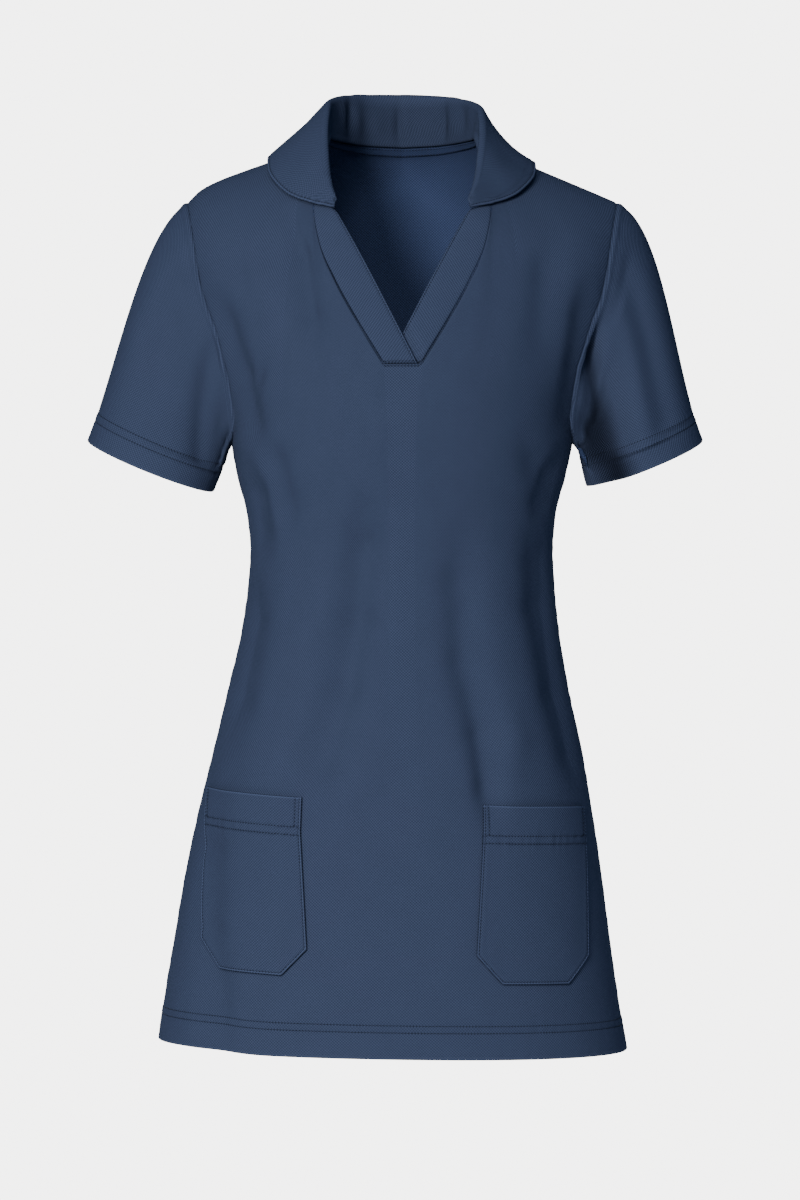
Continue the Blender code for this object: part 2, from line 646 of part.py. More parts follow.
def collar_seam(side, share):
    """The collar's lower edge: round the back, down the front's edge, over the band."""
    inward, sunk = CLEAR, COLLAR_SINKS
    if share <= COLLAR_NECK_POINT:
        x = side * NECK_WIDTH * math.sin(share / COLLAR_NECK_POINT * math.pi / 2)
        point = on_body("back", x, back_neck_height(x))
    elif share <= COLLAR_BAND:
        part = (share - COLLAR_NECK_POINT) / (COLLAR_BAND - COLLAR_NECK_POINT)
        z = lerp(NECK_POINT_HEIGHT, BAND_TOP, part)
        point = on_body("front", side * read(NECK, NECK_COLUMNS, "across", z), z)
    else:
        part = (share - COLLAR_BAND) / (1 - COLLAR_BAND)
        outer = read(NECK, NECK_COLUMNS, "across", BAND_TOP)
        x = side * lerp(outer, BAND_TOP_INNER, part)
        point = on_body("front", x, BAND_TOP + (COLLAR_LIFT - BAND_SLANT) * part)
        inward, sunk = inward * (1 - part), sunk * (1 - part)
    middle = np.array([0.0, 0.0, point[2]])
    return point + unit(middle - point) * inward - [0.0, 0.0, sunk]


def collar_size(name, share, power):
    """A column of the collar's table. Power 2 keeps it level across the middle of the back."""
    shares = column(COLLAR, COLLAR_COLUMNS, "share")
    return float(curve(shares**power, column(COLLAR, COLLAR_COLUMNS, name), share**power))


def collar_section(side, share, tree):
    """One section: up the stand, over the fold and down to the outer edge."""
    fold = np.array([side * collar_size("fold_x", share, 1)]
                    + [collar_size(name, share, 2) for name in ("fold_y", "fold_z")])
    edge = np.array([side * collar_size("edge_x", share, 1)]
                    + [collar_size(name, share, 2) for name in ("edge_y", "edge_z")])
    bulge = collar_size("right_bulge" if side < 0 else "left_bulge", share, 2)
    if side > 0:
        fold += [collar_size("left_out", share, 2), 0.0, -collar_size("left_lower", share, 2)]
    seam = kept_clear(tree, collar_seam(side, share), LIES_ABOVE)
    edge = laid_on(tree, edge, LIES_ABOVE + COLLAR_LOOSE)
    up = unit(fold - seam)
    out = edge - fold
    away = unit(out - up * (out @ up))
    radius = min(COLLAR_RADIUS, 0.3 * np.linalg.norm(fold - seam))
    centre = fold - up * radius + away * radius
    stand_top = centre - away * radius
    fall = unit(edge - centre)
    last_turn = math.atan2(fall @ away, fall @ up)
    points = [lerp(seam, stand_top, t) for t in np.linspace(0, 1, STAND_STEPS + 1)[:-1]]
    points = [kept_clear(tree, point, LIES_ABOVE) for point in points]
    for turn in np.linspace(0.0, last_turn, FOLD_STEPS + 1):
        points.append(centre + radius * (up * math.sin(turn) - away * math.cos(turn)))
    start = points[-1]
    reach = np.linalg.norm(edge - start)
    swell = unit(up - fall * (fall @ up)) * bulge * min(1.0, reach / COLLAR_BULGE_OVER)
    for t in np.linspace(0.0, 1.0, FALL_STEPS + 1)[1:]:
        point = lerp(start, edge, t) + swell * 4 * t * (1 - t)
        points.append(laid_on(tree, point, LIES_ABOVE + COLLAR_LOOSE))
    return points


def make_collar(tree):
    """One double wall from one front end round the back to the other."""
    shares = np.linspace(0.0, 1.0, COLLAR_STATIONS + 1) ** COLLAR_CROWDING
    right = [collar_section(-1, share, tree) for share in shares[::-1]]
    left = [collar_section(1, share, tree) for share in shares[1:]]
    wall("collar", np.array(right + left), DOUBLE)


def pocket_line(side, start, height, distances):
    """Points on the front at the given distances outwards from a start."""
    steps = np.linspace(0.0, 1.0, FINE)
    end = POCKET_REACH * half_width(side, height)
    x = side * lerp(start, end, np.sin(steps * math.pi / 2))
    line = on_body("front", x, np.full(FINE, height))
    length = np.linalg.norm(np.diff(line, axis=0), axis=1)
    length = np.concatenate([[0.0], np.cumsum(length)])
    return np.interp(distances, length, x)


def make_pocket(row, tree):
    """A patch on the front with two cut-off corners and a turned top."""
    side, inner_x, top, top_slope, bottom, bottom_slope = row
    across = np.array(POCKET_ACROSS) * POCKET_WIDTH
    from_corner = np.minimum(across, POCKET_WIDTH - across)
    cut = np.clip(POCKET_BEVEL - from_corner, 0.0, None)
    grid = []
    for share in POCKET_UP:
        low = bottom + bottom_slope * across + cut
        high = top + top_slope * across
        z = lerp(low, high, share)
        points = []
        for distance, height in zip(across, z):
            start = inner_x + POCKET_LEAN * (height - top)
            x = pocket_line(side, start, height, [distance])[0]
            points.append(laid_on(tree, on_body("front", x, height), POCKET_SETTLES))
        grid.append(points)
    grid = np.array(grid)[:, ::side]
    outward = normals_of(grid)
    mouth = (np.array(POCKET_UP) ** 3)[:, None] * np.sin(math.pi * np.array(POCKET_ACROSS))
    raised = POCKET_LIES - POCKET_SETTLES + POCKET_GAPE * mouth[:, ::side]
    grid = grid + outward * raised[..., None]
    for place in np.ndindex(grid.shape[:2]):
        grid[place] = laid_on(tree, grid[place], POCKET_LIES)
    wall("pocket_right" if side < 0 else "pocket_left", grid, SINGLE)


def main():
    for thing in list(bpy.data.objects):
        bpy.data.objects.remove(thing, do_unlink=True)
    grids = make_panels()
    for side in (-1, 1):
        make_sleeve(side, grids)
    bands = [make_band(side, grids["front"]) for side in (-1, 1)]
    make_tape(grids["back"])
    make_collar(surface_tree(grids["front"], grids["back"], *bands))
    for row in POCKETS:
        make_pocket(row, surface_tree(grids["front"]))


main()
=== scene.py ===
"""How the long polo shirt looks: knit, folds, seams, stitches, light and camera.

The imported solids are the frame. Each piece here is a finer shell on the form of its
solid, worked out from the same sizes, and it stands for that solid in the picture.
Metres, +Z up. The front faces -Y and the wearer's left is +X.
"""

import math

import bpy
import numpy as np
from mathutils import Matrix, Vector
from mathutils.bvhtree import BVHTree


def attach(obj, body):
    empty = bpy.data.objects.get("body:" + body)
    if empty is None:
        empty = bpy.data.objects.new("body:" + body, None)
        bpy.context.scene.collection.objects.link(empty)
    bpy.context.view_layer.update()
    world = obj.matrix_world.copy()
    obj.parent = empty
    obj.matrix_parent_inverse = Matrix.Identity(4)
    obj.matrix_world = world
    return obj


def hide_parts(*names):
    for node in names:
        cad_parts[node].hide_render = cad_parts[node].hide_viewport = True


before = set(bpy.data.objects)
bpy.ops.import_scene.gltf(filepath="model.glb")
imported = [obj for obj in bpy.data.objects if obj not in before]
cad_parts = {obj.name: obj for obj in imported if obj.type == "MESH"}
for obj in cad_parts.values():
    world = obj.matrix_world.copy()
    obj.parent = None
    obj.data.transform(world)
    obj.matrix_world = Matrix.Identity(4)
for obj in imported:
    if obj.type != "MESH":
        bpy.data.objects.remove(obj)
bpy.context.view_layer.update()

# Cloth
SINGLE = 0.0012  # one layer of the knit
DOUBLE = 0.0022  # two layers, in the collar, the bands and the turned hems
SEAM_GAP = 0.0003  # between neighbouring pieces
SEAM_DIP = 0.0004  # the cloth rolls down into a seam
SEAM_ROLL = 0.0017  # over this width

# Sewing
HEM_ROWS = (0.0225, 0.0285)  # the two rows of stitches, from the bottom edge
CUFF_ROWS = (0.019, 0.026)
POCKET_ROWS = (0.0255, 0.032)  # from the pocket's top edge
EDGE_STITCH = 0.002  # from a pocket's or a band's edge
COLLAR_STITCH = 0.0026
GROOVE = 0.0006  # how deep a row of stitches pulls the cloth in
GROOVE_WIDTH = 0.001
STITCH = 0.0017
STITCH_GAP = 0.0011
THREAD = 0.00036  # half of a thread's width
STITCH_SIDES = 5
STITCH_FLATNESS = 0.8
# Rings of one stitch: place along it, size, how high it stands
STITCH_RINGS = ((-0.5, 0.35, -0.5), (-0.25, 0.95, 0.45), (0.25, 0.95, 0.45), (0.5, 0.35, -0.5))

# Painted light and shade along edges, seams and stitch rows: a painted highlight near each turned
# edge and painted shade on its rim, as shares of the cloth's colour, more than 0 is lighter
EDGE_HIGHLIGHT = 0.6
EDGE_HIGHLIGHT_AT = 0.001  # the painted highlight is this far from the edge, whose rim has a painted shadow
EDGE_PAINT_WIDTH = 0.0006
EDGE_SHADE = -0.7
SEAM_SHADE = -0.5
SEAM_SHADE_WIDTH = 0.0009
ROW_SHADE = -0.26
ROW_SHADE_WIDTH = 0.0007

# Body
HEM_HEIGHT = -0.787
HEM_TILT = -0.015  # the hem drops this much for each metre towards the wearer's left
HEM_RISE = 0.0032  # and rises by this at the wearer's right side seam
HEM_RISE_FROM = 0.11
HEM_RISE_OVER = 0.09
UNDERARM_HEIGHT = -0.262
WAIST_HEIGHT = -0.357
SHOULDER_TIP = 0.187  # half of the width from one armhole seam to the other
SHOULDER_ROUNDNESS = 1.75  # how squarely the cloth turns over the shoulder
NECK_WIDTH = 0.066  # half of it, where the shoulder seam meets the collar
BACK_NECK_HEIGHT = 0.003
NECK_POINT_HEIGHT = 0.004
V_FLOOR = -0.2005  # the level edge below the two bands
V_FLOOR_WIDTH = 0.0158  # half of it

BODY = (
    ("height", "right", "left", "front", "back", "squareness"),
    (-0.8, 0.214, 0.1965, 0.128, 0.122, 2.25),
    (-0.74, 0.2057, 0.1865, 0.126, 0.121, 2.25),
    (-0.69, 0.1972, 0.1795, 0.124, 0.12, 2.25),
    (-0.64, 0.1888, 0.1731, 0.121, 0.118, 2.25),
    (-0.585, 0.1772, 0.1649, 0.117, 0.113, 2.25),
    (-0.53, 0.1636, 0.1557, 0.112, 0.106, 2.25),
    (-0.48, 0.1518, 0.1449, 0.107, 0.098, 2.25),
    (-0.43, 0.14, 0.1364, 0.103, 0.091, 2.25),
    (-0.39, 0.134, 0.1322, 0.102, 0.088, 2.2),
    (-0.357, 0.1316, 0.1305, 0.103, 0.088, 2.2),
    (-0.325, 0.1347, 0.1331, 0.107, 0.091, 2.2),
    (-0.29, 0.1435, 0.142, 0.114, 0.096, 2.15),
    (-0.262, 0.1485, 0.148, 0.119, 0.099, 2.1),
    (-0.245, 0.151, 0.1505, 0.121, 0.101, 2.05),
    (-0.2, 0.1655, 0.1655, 0.12, 0.104, 2.05),
    (-0.178, 0.1735, 0.1735, 0.116, 0.105, 2.05),
    (-0.135, 0.1875, 0.1875, 0.104, 0.104, 2.05),
    (-0.083, 0.201, 0.201, 0.087, 0.099, 2.05),
    (-0.03, 0.21, 0.21, 0.07, 0.091, 2.05),
    (0.04, 0.22, 0.22, 0.055, 0.083, 2.05),
)

# The line of the shoulder, and over how much height the cloth turns there
SHOULDER = (
    ("across", "right", "left", "turn"),
    (0.0, 0.03, 0.03, 0.06),
    (0.03, 0.026, 0.026, 0.068),
    (0.066, 0.004, 0.004, 0.085),
    (0.09, -0.0085, -0.0115, 0.08),
    (0.114, -0.0185, -0.0235, 0.075),
    (0.135, -0.026, -0.0325, 0.068),
    (0.16, -0.0355, -0.043, 0.06),
    (0.176, -0.044, -0.0498, 0.057),
    (0.187, -0.0549, -0.0549, 0.055),
    (0.215, -0.076, -0.076, 0.055),
)

# The cut edge of the front panel along the V
NECK = (
    ("height", "across"),
    (-0.2005, 0.0158),
    (-0.155, 0.043),
    (-0.127, 0.058),
    (-0.0955, 0.0715),
    (-0.065, 0.0762),
    (-0.035, 0.0748),
    (-0.012, 0.07),
    (0.004, 0.066),
)

# The armhole seam, from the underarm to the shoulder's tip
ARMHOLE = (
    ("height", "across"),
    (-0.262, 0.148),
    (-0.257, 0.146),
    (-0.247, 0.145),
    (-0.229, 0.1475),
    (-0.178, 0.16),
    (-0.135, 0.1725),
    (-0.083, 0.1815),
    (-0.0549, 0.187),
)

# Folds: lines of points with the cloth pushed out, or in where the depth is below 0
# millimetres: x, z, half width, depth
FOLDS = {
    "front": (
        ((-32, -309, 12, 0), (-35, -354, 18, -9.9), (-44, -418, 21, -13.2),
         (-54, -477, 21, -12.1), (-74, -537, 21, -8.8), (-85, -596, 20, 0)),
        ((51, -326, 12, 0), (50, -385, 17, -5.5), (55, -454, 17, -7.2), (70, -514, 15, -8.3),
         (74, -559, 12, -7.7), (76, -596, 12, -1.1)),
        ((87, -477, 12, 0), (94, -520, 14, 2.7), (97, -562, 14, 0)),
        ((113, -320, 12, 0), (118, -367, 15, -5.5), (121, -405, 16, -7.7),
         (136, -479, 16, -8.3), (148, -533, 14, -6.1), (158, -575, 12, 0)),
        ((-132, -275, 8, 0), (-127, -308, 11, -6.6), (-122, -342, 11, -5.5), (-119, -384, 10, 0)),
        ((-129, -367, 14, 0), (-133, -418, 17, -7.7), (-144, -486, 17, -7.7),
         (-157, -541, 16, 0)),
        ((-153, -558, 14, -1.1), (-166, -613, 17, -6.6), (-167, -681, 17, -7.7),
         (-161, -740, 16, -6.6), (-156, -789, 16, -4.4)),
        ((-98, -72, 8, -3.3), (-89, -108, 11, -7.7), (-81, -159, 12, -7.2), (-73, -197, 11, 0)),
        ((-129, -76, 8, 0), (-122, -121, 11, 3.3), (-110, -172, 10, 0)),
        ((-167, -125, 10, 0), (-153, -163, 11, -6.6), (-139, -206, 11, -7.7),
         (-130, -244, 10, -6.6), (-119, -274, 10, 0)),
        ((-114, -185, 6, 0), (-125, -211, 7, -4.4), (-133, -233, 6, 0)),
        ((136, -74, 12, 0), (125, -121, 15, -4.4), (119, -172, 15, -3.3), (114, -214, 14, 0)),
        ((161, -117, 9, 0), (156, -155, 11, -4.4), (149, -197, 10, -4.4),
         (139, -240, 9, -2.2), (131, -265, 9, 0)),
        ((144, -265, 6, 0), (127, -291, 10, -5), (120, -316, 11, -4.4), (117, -342, 10, 0)),
        ((-119, -254, 10, 0), (-110, -284, 12, -5.5), (-100, -320, 12, -4.4), (-93, -358, 10, 0)),
        ((100, -250, 10, 0), (113, -284, 12, -3.3), (121, -320, 10, 0)),
    ),
    "back": (
        ((-50, -300, 14, 0), (-54, -380, 21, -6), (-60, -480, 21, -6), (-70, -590, 19, 0)),
        ((44, -290, 14, 0), (50, -380, 21, -6), (60, -500, 21, -6.5), (74, -620, 19, 0)),
        ((-2, -270, 14, 0), (3, -340, 19, -4.5), (8, -450, 18, 0)),
        ((132, -215, 8, 0), (108, -258, 13, -5), (86, -310, 12, 0)),
        ((-134, -220, 8, 0), (-106, -266, 13, -5), (-84, -325, 12, 0)),
        ((-120, -500, 12, 0), (-133, -600, 17, -6), (-144, -700, 18, -7), (-150, -800, 16, -5)),
        ((112, -480, 12, 0), (124, -600, 17, -6), (134, -700, 18, -7), (142, -805, 16, -5)),
        ((-150, -100, 8, 0), (-140, -160, 12, -3.5), (-130, -220, 10, 0)),
        ((150, -110, 8, 0), (142, -165, 12, -3.5), (131, -225, 10, 0)),
        ((20, -560, 14, 0), (24, -680, 20, -4.5), (30, -800, 20, -5)),
    ),
}
PANEL_NUMBER = {"front": -1.0, "back": 1.0}
FOLD_FADE_POWER = 16  # folds die away close to the side seams and over the shoulders
FOLD_FADE = 1.6

# Sleeves: the opening at the cuff as an ellipse, one row for each side
# side, inner_x, inner_z, outer_x, outer_z, half_depth
SLEEVES = (
    (-1, 0.165, -0.305, 0.2735, -0.2614, 0.05),
    (1, 0.1615, -0.301, 0.261, -0.2614, 0.049),
)
SLEEVE_LEAVES = (0.983, 0.0, -0.185)  # the way a sleeve leaves the armhole
SLEEVE_GAP = -0.0008
SLEEVE_RISES = 1.0  # how much it first follows the panels' own surface
SLEEVE_HEAD = 0.6  # how far that way is kept, as a share of the sleeve's length
SLEEVE_TAIL = 0.9
SLEEVE_LENGTH = 0.224  # along its outer side
CUFF_DROP = 0.007  # how much lower the cuff's front is than its middle

# Collar: the top fold and the outer edge, from the middle of the back to the front end
COLLAR = (
    ("share", "fold_x", "fold_y", "fold_z", "edge_x", "edge_y", "edge_z",
     "left_lower", "left_out", "right_bulge", "left_bulge"),
    (0.0, 0.0, 0.063, 0.047, 0.0, 0.092, -0.02, 0.0, 0.0, 0.002, 0.002),
    (0.25, 0.0435, 0.0445, 0.045, 0.07, 0.076, -0.023, 0.0025, 0.002, 0.002, -0.001),
    (0.5, 0.0628, 0.006, 0.034, 0.113, 0.02, -0.0175, 0.0045, 0.004, 0.001, -0.005),
    (0.65, 0.0645, -0.027, 0.01, 0.115, -0.028, -0.031, 0.003, 0.0025, 0.001, -0.004),
    (0.8, 0.063, -0.052, -0.019, 0.1, -0.06, -0.051, 0.001, 0.001, 0.002, 0.0005),
    (0.92, 0.06, -0.0665, -0.043, 0.077, -0.073, -0.062, 0.0, 0.0005, 0.001, 0.0005),
    (1.0, 0.0567, -0.0765, -0.0585, 0.0567, -0.0785, -0.068, 0.0, 0.0, 0.0, 0.0),
)
COLLAR_AXES = (("x", 1), ("y", 2), ("z", 2))  # and the power in which each is read
COLLAR_NECK_POINT = 0.5  # the share at which the shoulder seam is
COLLAR_BAND = 0.9  # the share at which the neck band starts
COLLAR_SINKS = 0.0015  # the stand's lower edge is this far below the panels' edge
COLLAR_RADIUS = 0.0028  # of the fold
COLLAR_FOLD_SHARE = 0.3  # and at most this share of the stand's height
COLLAR_BULGE_OVER = 0.05  # a fall shorter than this bulges less
COLLAR_LIFT = 0.004  # the stand's front end is this far above the band
COLLAR_SWEEP = 0.0012  # room for the bends between two sections
COLLAR_LOOSE = 0.0008  # the fall lies a little loose on the panels
CLEAR = SINGLE / 2 + DOUBLE / 2 + SEAM_GAP
LIES_ABOVE = DOUBLE + SEAM_GAP + COLLAR_SWEEP

# Neck bands
BAND_TOP = -0.06
BAND_SLANT = 0.006  # the top is this much lower at its inner end
BAND_TOP_INNER = 0.0575  # half of the width between the two inner edges at the top
BAND_BOTTOM_INNER = 0.0127  # how far each band's lower corner is past the middle
BAND_CROSSES_OVER = 0.01  # the lower band starts to dip this far from the upper one
BAND_ROOM = 0.0002
BAND_TOP_SHORT = 0.001  # it stops this far below the collar's lower edge
BAND_DIP_ROOM = 0.0018  # between the two bands where they cross
BAND_LAST_STEP = 0.006  # no row is nearer than this to the band's top
BAND_LEVEL_FOR = 0.004  # and is behind it from this far on

TAPE_WIDTH = 0.0098
TAPE_BELOW_EDGE = 0.0021
TAPE_SHORT = 2  # the tape stops this many columns before each shoulder seam

# Pockets: one row each, measured on the panel
# side, inner_x, top, top_slope, bottom, bottom_slope
POCKETS = (
    (-1, 0.087, -0.5675, 0.06, -0.7185, 0.05),
    (1, 0.069, -0.574, -0.03, -0.724, -0.03),
)
POCKET_LEAN = 0.055  # the inner edge leans out towards the top by this slope
POCKET_WIDTH = 0.11
POCKET_BEVEL = 0.0235  # cut off each lower corner
POCKET_RAISED = 0.0009  # room over the panel's bends
POCKET_GAPE = 0.0022  # how far the mouth stands open
POCKET_LIES = SINGLE + SEAM_GAP + POCKET_RAISED
POCKET_REACH = 0.9985  # no pocket reaches past this share of the panel's half width

# Grid sizes: the same forms as in the solids, on finer grids
LOWER_ROWS = 150
UPPER_ROWS = 120
COLUMN_SWEEP = 3.0
COLUMN_SWEEP_WIDTH = {"front": 17.5, "back": 21.0}  # in columns
TOP_CROWDING = 1.4
FRONT_COLUMNS = (5, 45, 50)
BACK_COLUMNS = (48, 42)
SLEEVE_ROWS = 140
BAND_COLUMNS = 24
TAPE_STEPS = 13
PANEL_GRID = (120, 170)  # rows and columns when they are spread evenly
SLEEVE_GRID = (62, 112)
BAND_GRID = (60, 16)
COLLAR_GRID = (150, 60)
POCKET_GRID = (74, 54)
TAPE_ROWS = 12
STAND_STEPS = 16
FOLD_STEPS = 12
FALL_STEPS = 30
COLLAR_STATIONS = 110
COLLAR_CROWDING = 0.9
FINE = 400  # steps when a curve's length is measured
TINY = 1e-12

# Grid lines at these distances from an edge, for its round and its stitches
NEAREST_EDGE = (0.0, 0.00025, 0.0006, 0.0011, 0.0018, 0.0026, 0.0038)
TOWARDS_ROWS = (0.007, 0.011, 0.015, 0.018)
BESIDE_ROW = (-0.0012, -0.0006, 0.0, 0.0006, 0.0012)
ROW_CLEAR = 0.001
PAST_ROWS = 0.003
NECK_STITCH = 0.0022  # outside the seam of the neck bands
NECK_MARKS = (0.0, 0.00025, 0.0006, 0.0011, 0.0016, NECK_STITCH, 0.0028, 0.0038, 0.006)
SLEEVE_MARKS = (*NEAREST_EDGE, 0.0055, 0.0075)
BAND_MARKS = (0.0, 0.0003, 0.0008, 0.0014, EDGE_STITCH, 0.0028, 0.0038)
TAPE_MARKS = (0.0, 0.0003, 0.0007)
COLLAR_MARKS = (0.0, 0.0003, 0.0008, 0.0014, 0.002, COLLAR_STITCH, 0.0034, 0.0046)
POCKET_MARKS = (0.0, 0.00025, 0.0006, 0.001, 0.0015, 0.002, 0.0025, 0.0032, 0.0045, 0.006)
POCKET_FINE = 60
WALK_STEPS = 120
ROUTE_STEPS = 80

# Small forms that only show here
FOLD_MERGE = 4.0
ROUND_EDGE = 0.6  # how far in an edge's round goes, as a share of the wall
EDGE_WALL = 0.3  # the wall at the very edge, as a share of it
TURN_ENDS = 0.0015  # a turned edge goes on this far past its last row
SOFT_STEP = 0.001
PUCKER = 0.00035
# Little waves along the edges: share of PUCKER, length, shift, from the edge, half width
PUCKERS = {
    "hem": (1.0, 0.0095, 0.0, 0.0255, 0.0065),
    "hem_edge": (0.5, 0.013, 1.1, 0.0, 0.01),
    "side": (1.0, 0.011, 2.0, 0.003, 0.004),
    "cuff": (1.0, 0.0088, 0.0, 0.0225, 0.0065),
    "cuff_edge": (0.5, 0.012, 1.1, 0.0, 0.01),
    "armhole": (1.2, 0.015, 0.4, 0.005, 0.006),
    "band": (0.6, 0.01, 0.0, 0.003, 0.005),
    "collar": (0.7, 0.012, 0.5, 0.004, 0.006),
    "pocket_top": (1.0, 0.0098, 0.0, 0.029, 0.0065),
    "pocket_edge": (0.25, 0.0105, 0.7, 0.004, 0.004),
}
SIDE_CLOSES = 0.00045  # the panels meet closer at their side seams than the solids do
ARMHOLE_RIDGE = (0.001, 0.0042, 0.0024)  # height, from the seam, half width
BAND_SWELL = 0.0005
TAPE_LIFT = 0.0004
TAPE_LIFT_OVER = 0.002
TAPE_STITCH = 0.0015  # from the tape's edge
SLEEVE_FADE = (0.25, 0.08)  # of the folds: a power round the sleeve, and a share along it
FOLD_SHADE = -62.0  # for each metre that a sleeve's deep fold goes in
FOLD_SHADE_FROM = 0.006
SLEEVE_ROUND = 0.36
# side, then for both ends: share of the way round and along, then half width and depth
SLEEVE_FOLDS = (
    (-1, 0.2, 0.05, 0.13, 0.75, 0.012, -0.004),
    (-1, 0.34, 0.2, 0.36, 0.5, 0.014, -0.0025),
    (-1, 0.7, 0.1, 0.78, 0.8, 0.014, -0.0035),
    (1, 0.21, 0.12, 0.14, 0.42, 0.013, -0.014),
    (1, 0.13, 0.42, 0.12, 1.0, 0.032, -0.019),
    (1, 0.3, 0.25, 0.26, 0.85, 0.013, 0.003),
    (1, 0.36, 0.2, 0.34, 0.8, 0.016, -0.004),
    (1, 0.72, 0.1, 0.8, 0.8, 0.014, -0.0035),
)
# Creases in the collar's stand: x, half width, depth
COLLAR_RIPPLES = (
    (-0.053, 0.0034, 0.0018), (-0.0465, 0.003, -0.0038), (-0.04, 0.004, 0.0016),
    (-0.022, 0.007, 0.0012), (-0.0035, 0.0028, -0.0032), (0.004, 0.005, 0.0014),
    (0.037, 0.003, -0.004), (0.044, 0.004, 0.0018), (0.054, 0.0035, -0.0024),
)
STAND_MIDDLE = 0.17  # as a share of the way from the collar's lower edge to its outer edge
STAND_REACH = 0.12
STAND_SHADE = -0.22
STAND_ENDS = (0.34, 0.06)  # where the shade ends, and over what share
STAND_BEHIND = 0.03  # the creases fade in over this depth behind the neck's middle
POCKET_BORDER = 0.0065  # the turned edge of a pocket
POCKET_BORDER_WALL = 0.8  # of a double layer
POCKET_SHORT = 0.0055  # the short upright stitches in the turned top

# Knit
NAVY = (0.024, 0.0325, 0.06)
RIB_PERIOD = 0.0024  # measured up the cloth
RIB_SLOPE = 0.9
CELL_PERIOD = 0.0025
CELL_SHARE = 0.85
RIB_SHADE = 0.19
RIB_RELIEF = 0.00022
CLOUD_SHADE = 0.11
SPECKLE_SCALE = 520.0
CLOUD_SCALE = 34.0
INSIDE_PAINTED_LIGHT = (1.0, 1.1, 1.3)  # the inside copy of the knit is painted lighter and bluer, as painted light where the lamps reach the inside less
FLECK_SHARE = 1.2
DARKEST = 0.15
ROUGHNESS = 0.66
ROUGHNESS_DIP = -0.03  # on the ribs
RELIEF_STRENGTH = 0.55
SHEEN = 0.01
SHEEN_ROUGHNESS = 0.45
SHEEN_TINT = (0.55, 0.66, 0.9, 1.0)
THREAD_PAINTED_SHADES = (0.15, 0.35)  # of the cloth's colour; the thread is painted this much darker, as painted shade in the stitch holes
THREAD_TWIST = 900.0

# Studio
FLOOR_HEIGHT = -1.12
FLOOR_RADIUS = 1.25
FLOOR_SIDES = 96
FLOOR_COLOUR = (0.9, 0.89, 0.88)
SENSOR = 36.0
LENS = 127.4
CAMERA_PLACE = (-0.002, -3.7, -0.4)
WORLD_COLOUR = (0.42, 0.68, 1.0)
WORLD_STRENGTH = 0.36
SURROUND_COLOUR = (1.0, 0.995, 0.985)
SURROUND_STRENGTH = 5.2
# name, place, aim, size, power, colour
LIGHTS = (
    ("key", (-1.2, -3.0, 0.25), (0.0, 0.0, -0.25), 0.9, 162.0, (1.0, 0.96, 0.92)),
    ("front", (-0.2, -3.3, 1.7), (0.0, 0.0, -0.4), 1.3, 75.0, (1.0, 0.97, 0.95)),
    ("back_right", (-1.3, 3.4, 0.4), (0.0, 0.0, -0.4), 1.2, 130.0, (1.0, 0.98, 0.97)),
    ("back_left", (1.3, 3.4, 0.4), (0.0, 0.0, -0.4), 1.2, 60.0, (1.0, 0.98, 0.97)),
)


def column(table, name):
    names, *rows = table
    return np.array([row[names.index(name)] for row in rows], float)


def cubic(t, start, first, end, last):
    """A curve from start to end, which leaves along first and arrives along last."""
    rest = 1 - t
    ends = (1 + 2 * t) * rest**2 * start + (3 - 2 * t) * t**2 * end
    return ends + t * rest**2 * first - rest * t**2 * last


def curve(xs, ys, at):
    """A smooth curve through the points, which doesn't swing past them."""
    steps = np.diff(xs)
    slopes = np.diff(ys) / steps
    same_way = slopes[1:] * slopes[:-1] > 0
    total = np.where(same_way, slopes[1:] + slopes[:-1], 1.0)
    inner = np.where(same_way, 2 * slopes[1:] * slopes[:-1] / total, 0.0)
    tangents = np.concatenate([slopes[:1], inner, slopes[-1:]])
    at = np.clip(at, xs[0], xs[-1])
    i = np.clip(np.searchsorted(xs, at) - 1, 0, len(steps) - 1)
    first, last = steps[i] * tangents[i], steps[i] * tangents[i + 1]
    return cubic((at - xs[i]) / steps[i], ys[i], first, ys[i + 1], last)


def read(table, name, at):
    """The named column of a table as a smooth curve over its first column."""
    return curve(column(table, table[0][0]), column(table, name), at)


def unit(vectors):
    size = np.linalg.norm(vectors, axis=-1, keepdims=True)
    return vectors / np.maximum(size, TINY)


def run_length(points):
    """How far each point is along its line, or each row along the columns of a grid."""
    steps = np.linalg.norm(np.diff(points, axis=0), axis=-1)
    return np.concatenate([np.zeros((1, *steps.shape[1:])), np.cumsum(steps, axis=0)])


def sampled(line, length, at):
    """Points of a line at these lengths."""
    return np.stack([np.interp(at, length, line[:, i]) for i in range(3)], axis=-1)


def even(points, count):
    """Positions 0 to 1 along a finely sampled line, evenly spaced by its length."""
    length = run_length(points)
    wanted = np.linspace(0.0, length[-1], count + 1)
    return np.interp(wanted, length, np.linspace(0.0, 1.0, len(points)))


def shoulder_height(x):
    """The height of the shoulder line, which differs a little between the two sides."""
    right = read(SHOULDER, "right", np.abs(x))
    left = read(SHOULDER, "left", np.abs(x))
    return np.where(x < 0, right, left)


def half_width(side, height):
    return read(BODY, "right" if side < 0 else "left", height)


def bump(distance, width):
    return np.exp(-((distance / width) ** 2))


def fold(x, y, start, end):
    """One straight stretch of a fold. Its ends are (x, y, half width, depth)."""
    run = end[:2] - start[:2]
    t = np.clip(((x - start[0]) * run[0] + (y - start[1]) * run[1]) / (run @ run), 0.0, 1.0)
    away = np.hypot(x - start[0] - t * run[0], y - start[1] - t * run[1])
    return lerp(start[3], end[3], t) * bump(away, lerp(start[2], end[2], t))


def merged(depths):
    """Some folds together. Where they meet, the deepest one counts."""
    dips = sum(np.clip(-depth, 0.0, None) ** FOLD_MERGE for depth in depths)
    rises = sum(np.clip(depth, 0.0, None) ** FOLD_MERGE for depth in depths)
    return rises ** (1 / FOLD_MERGE) - dips ** (1 / FOLD_MERGE)


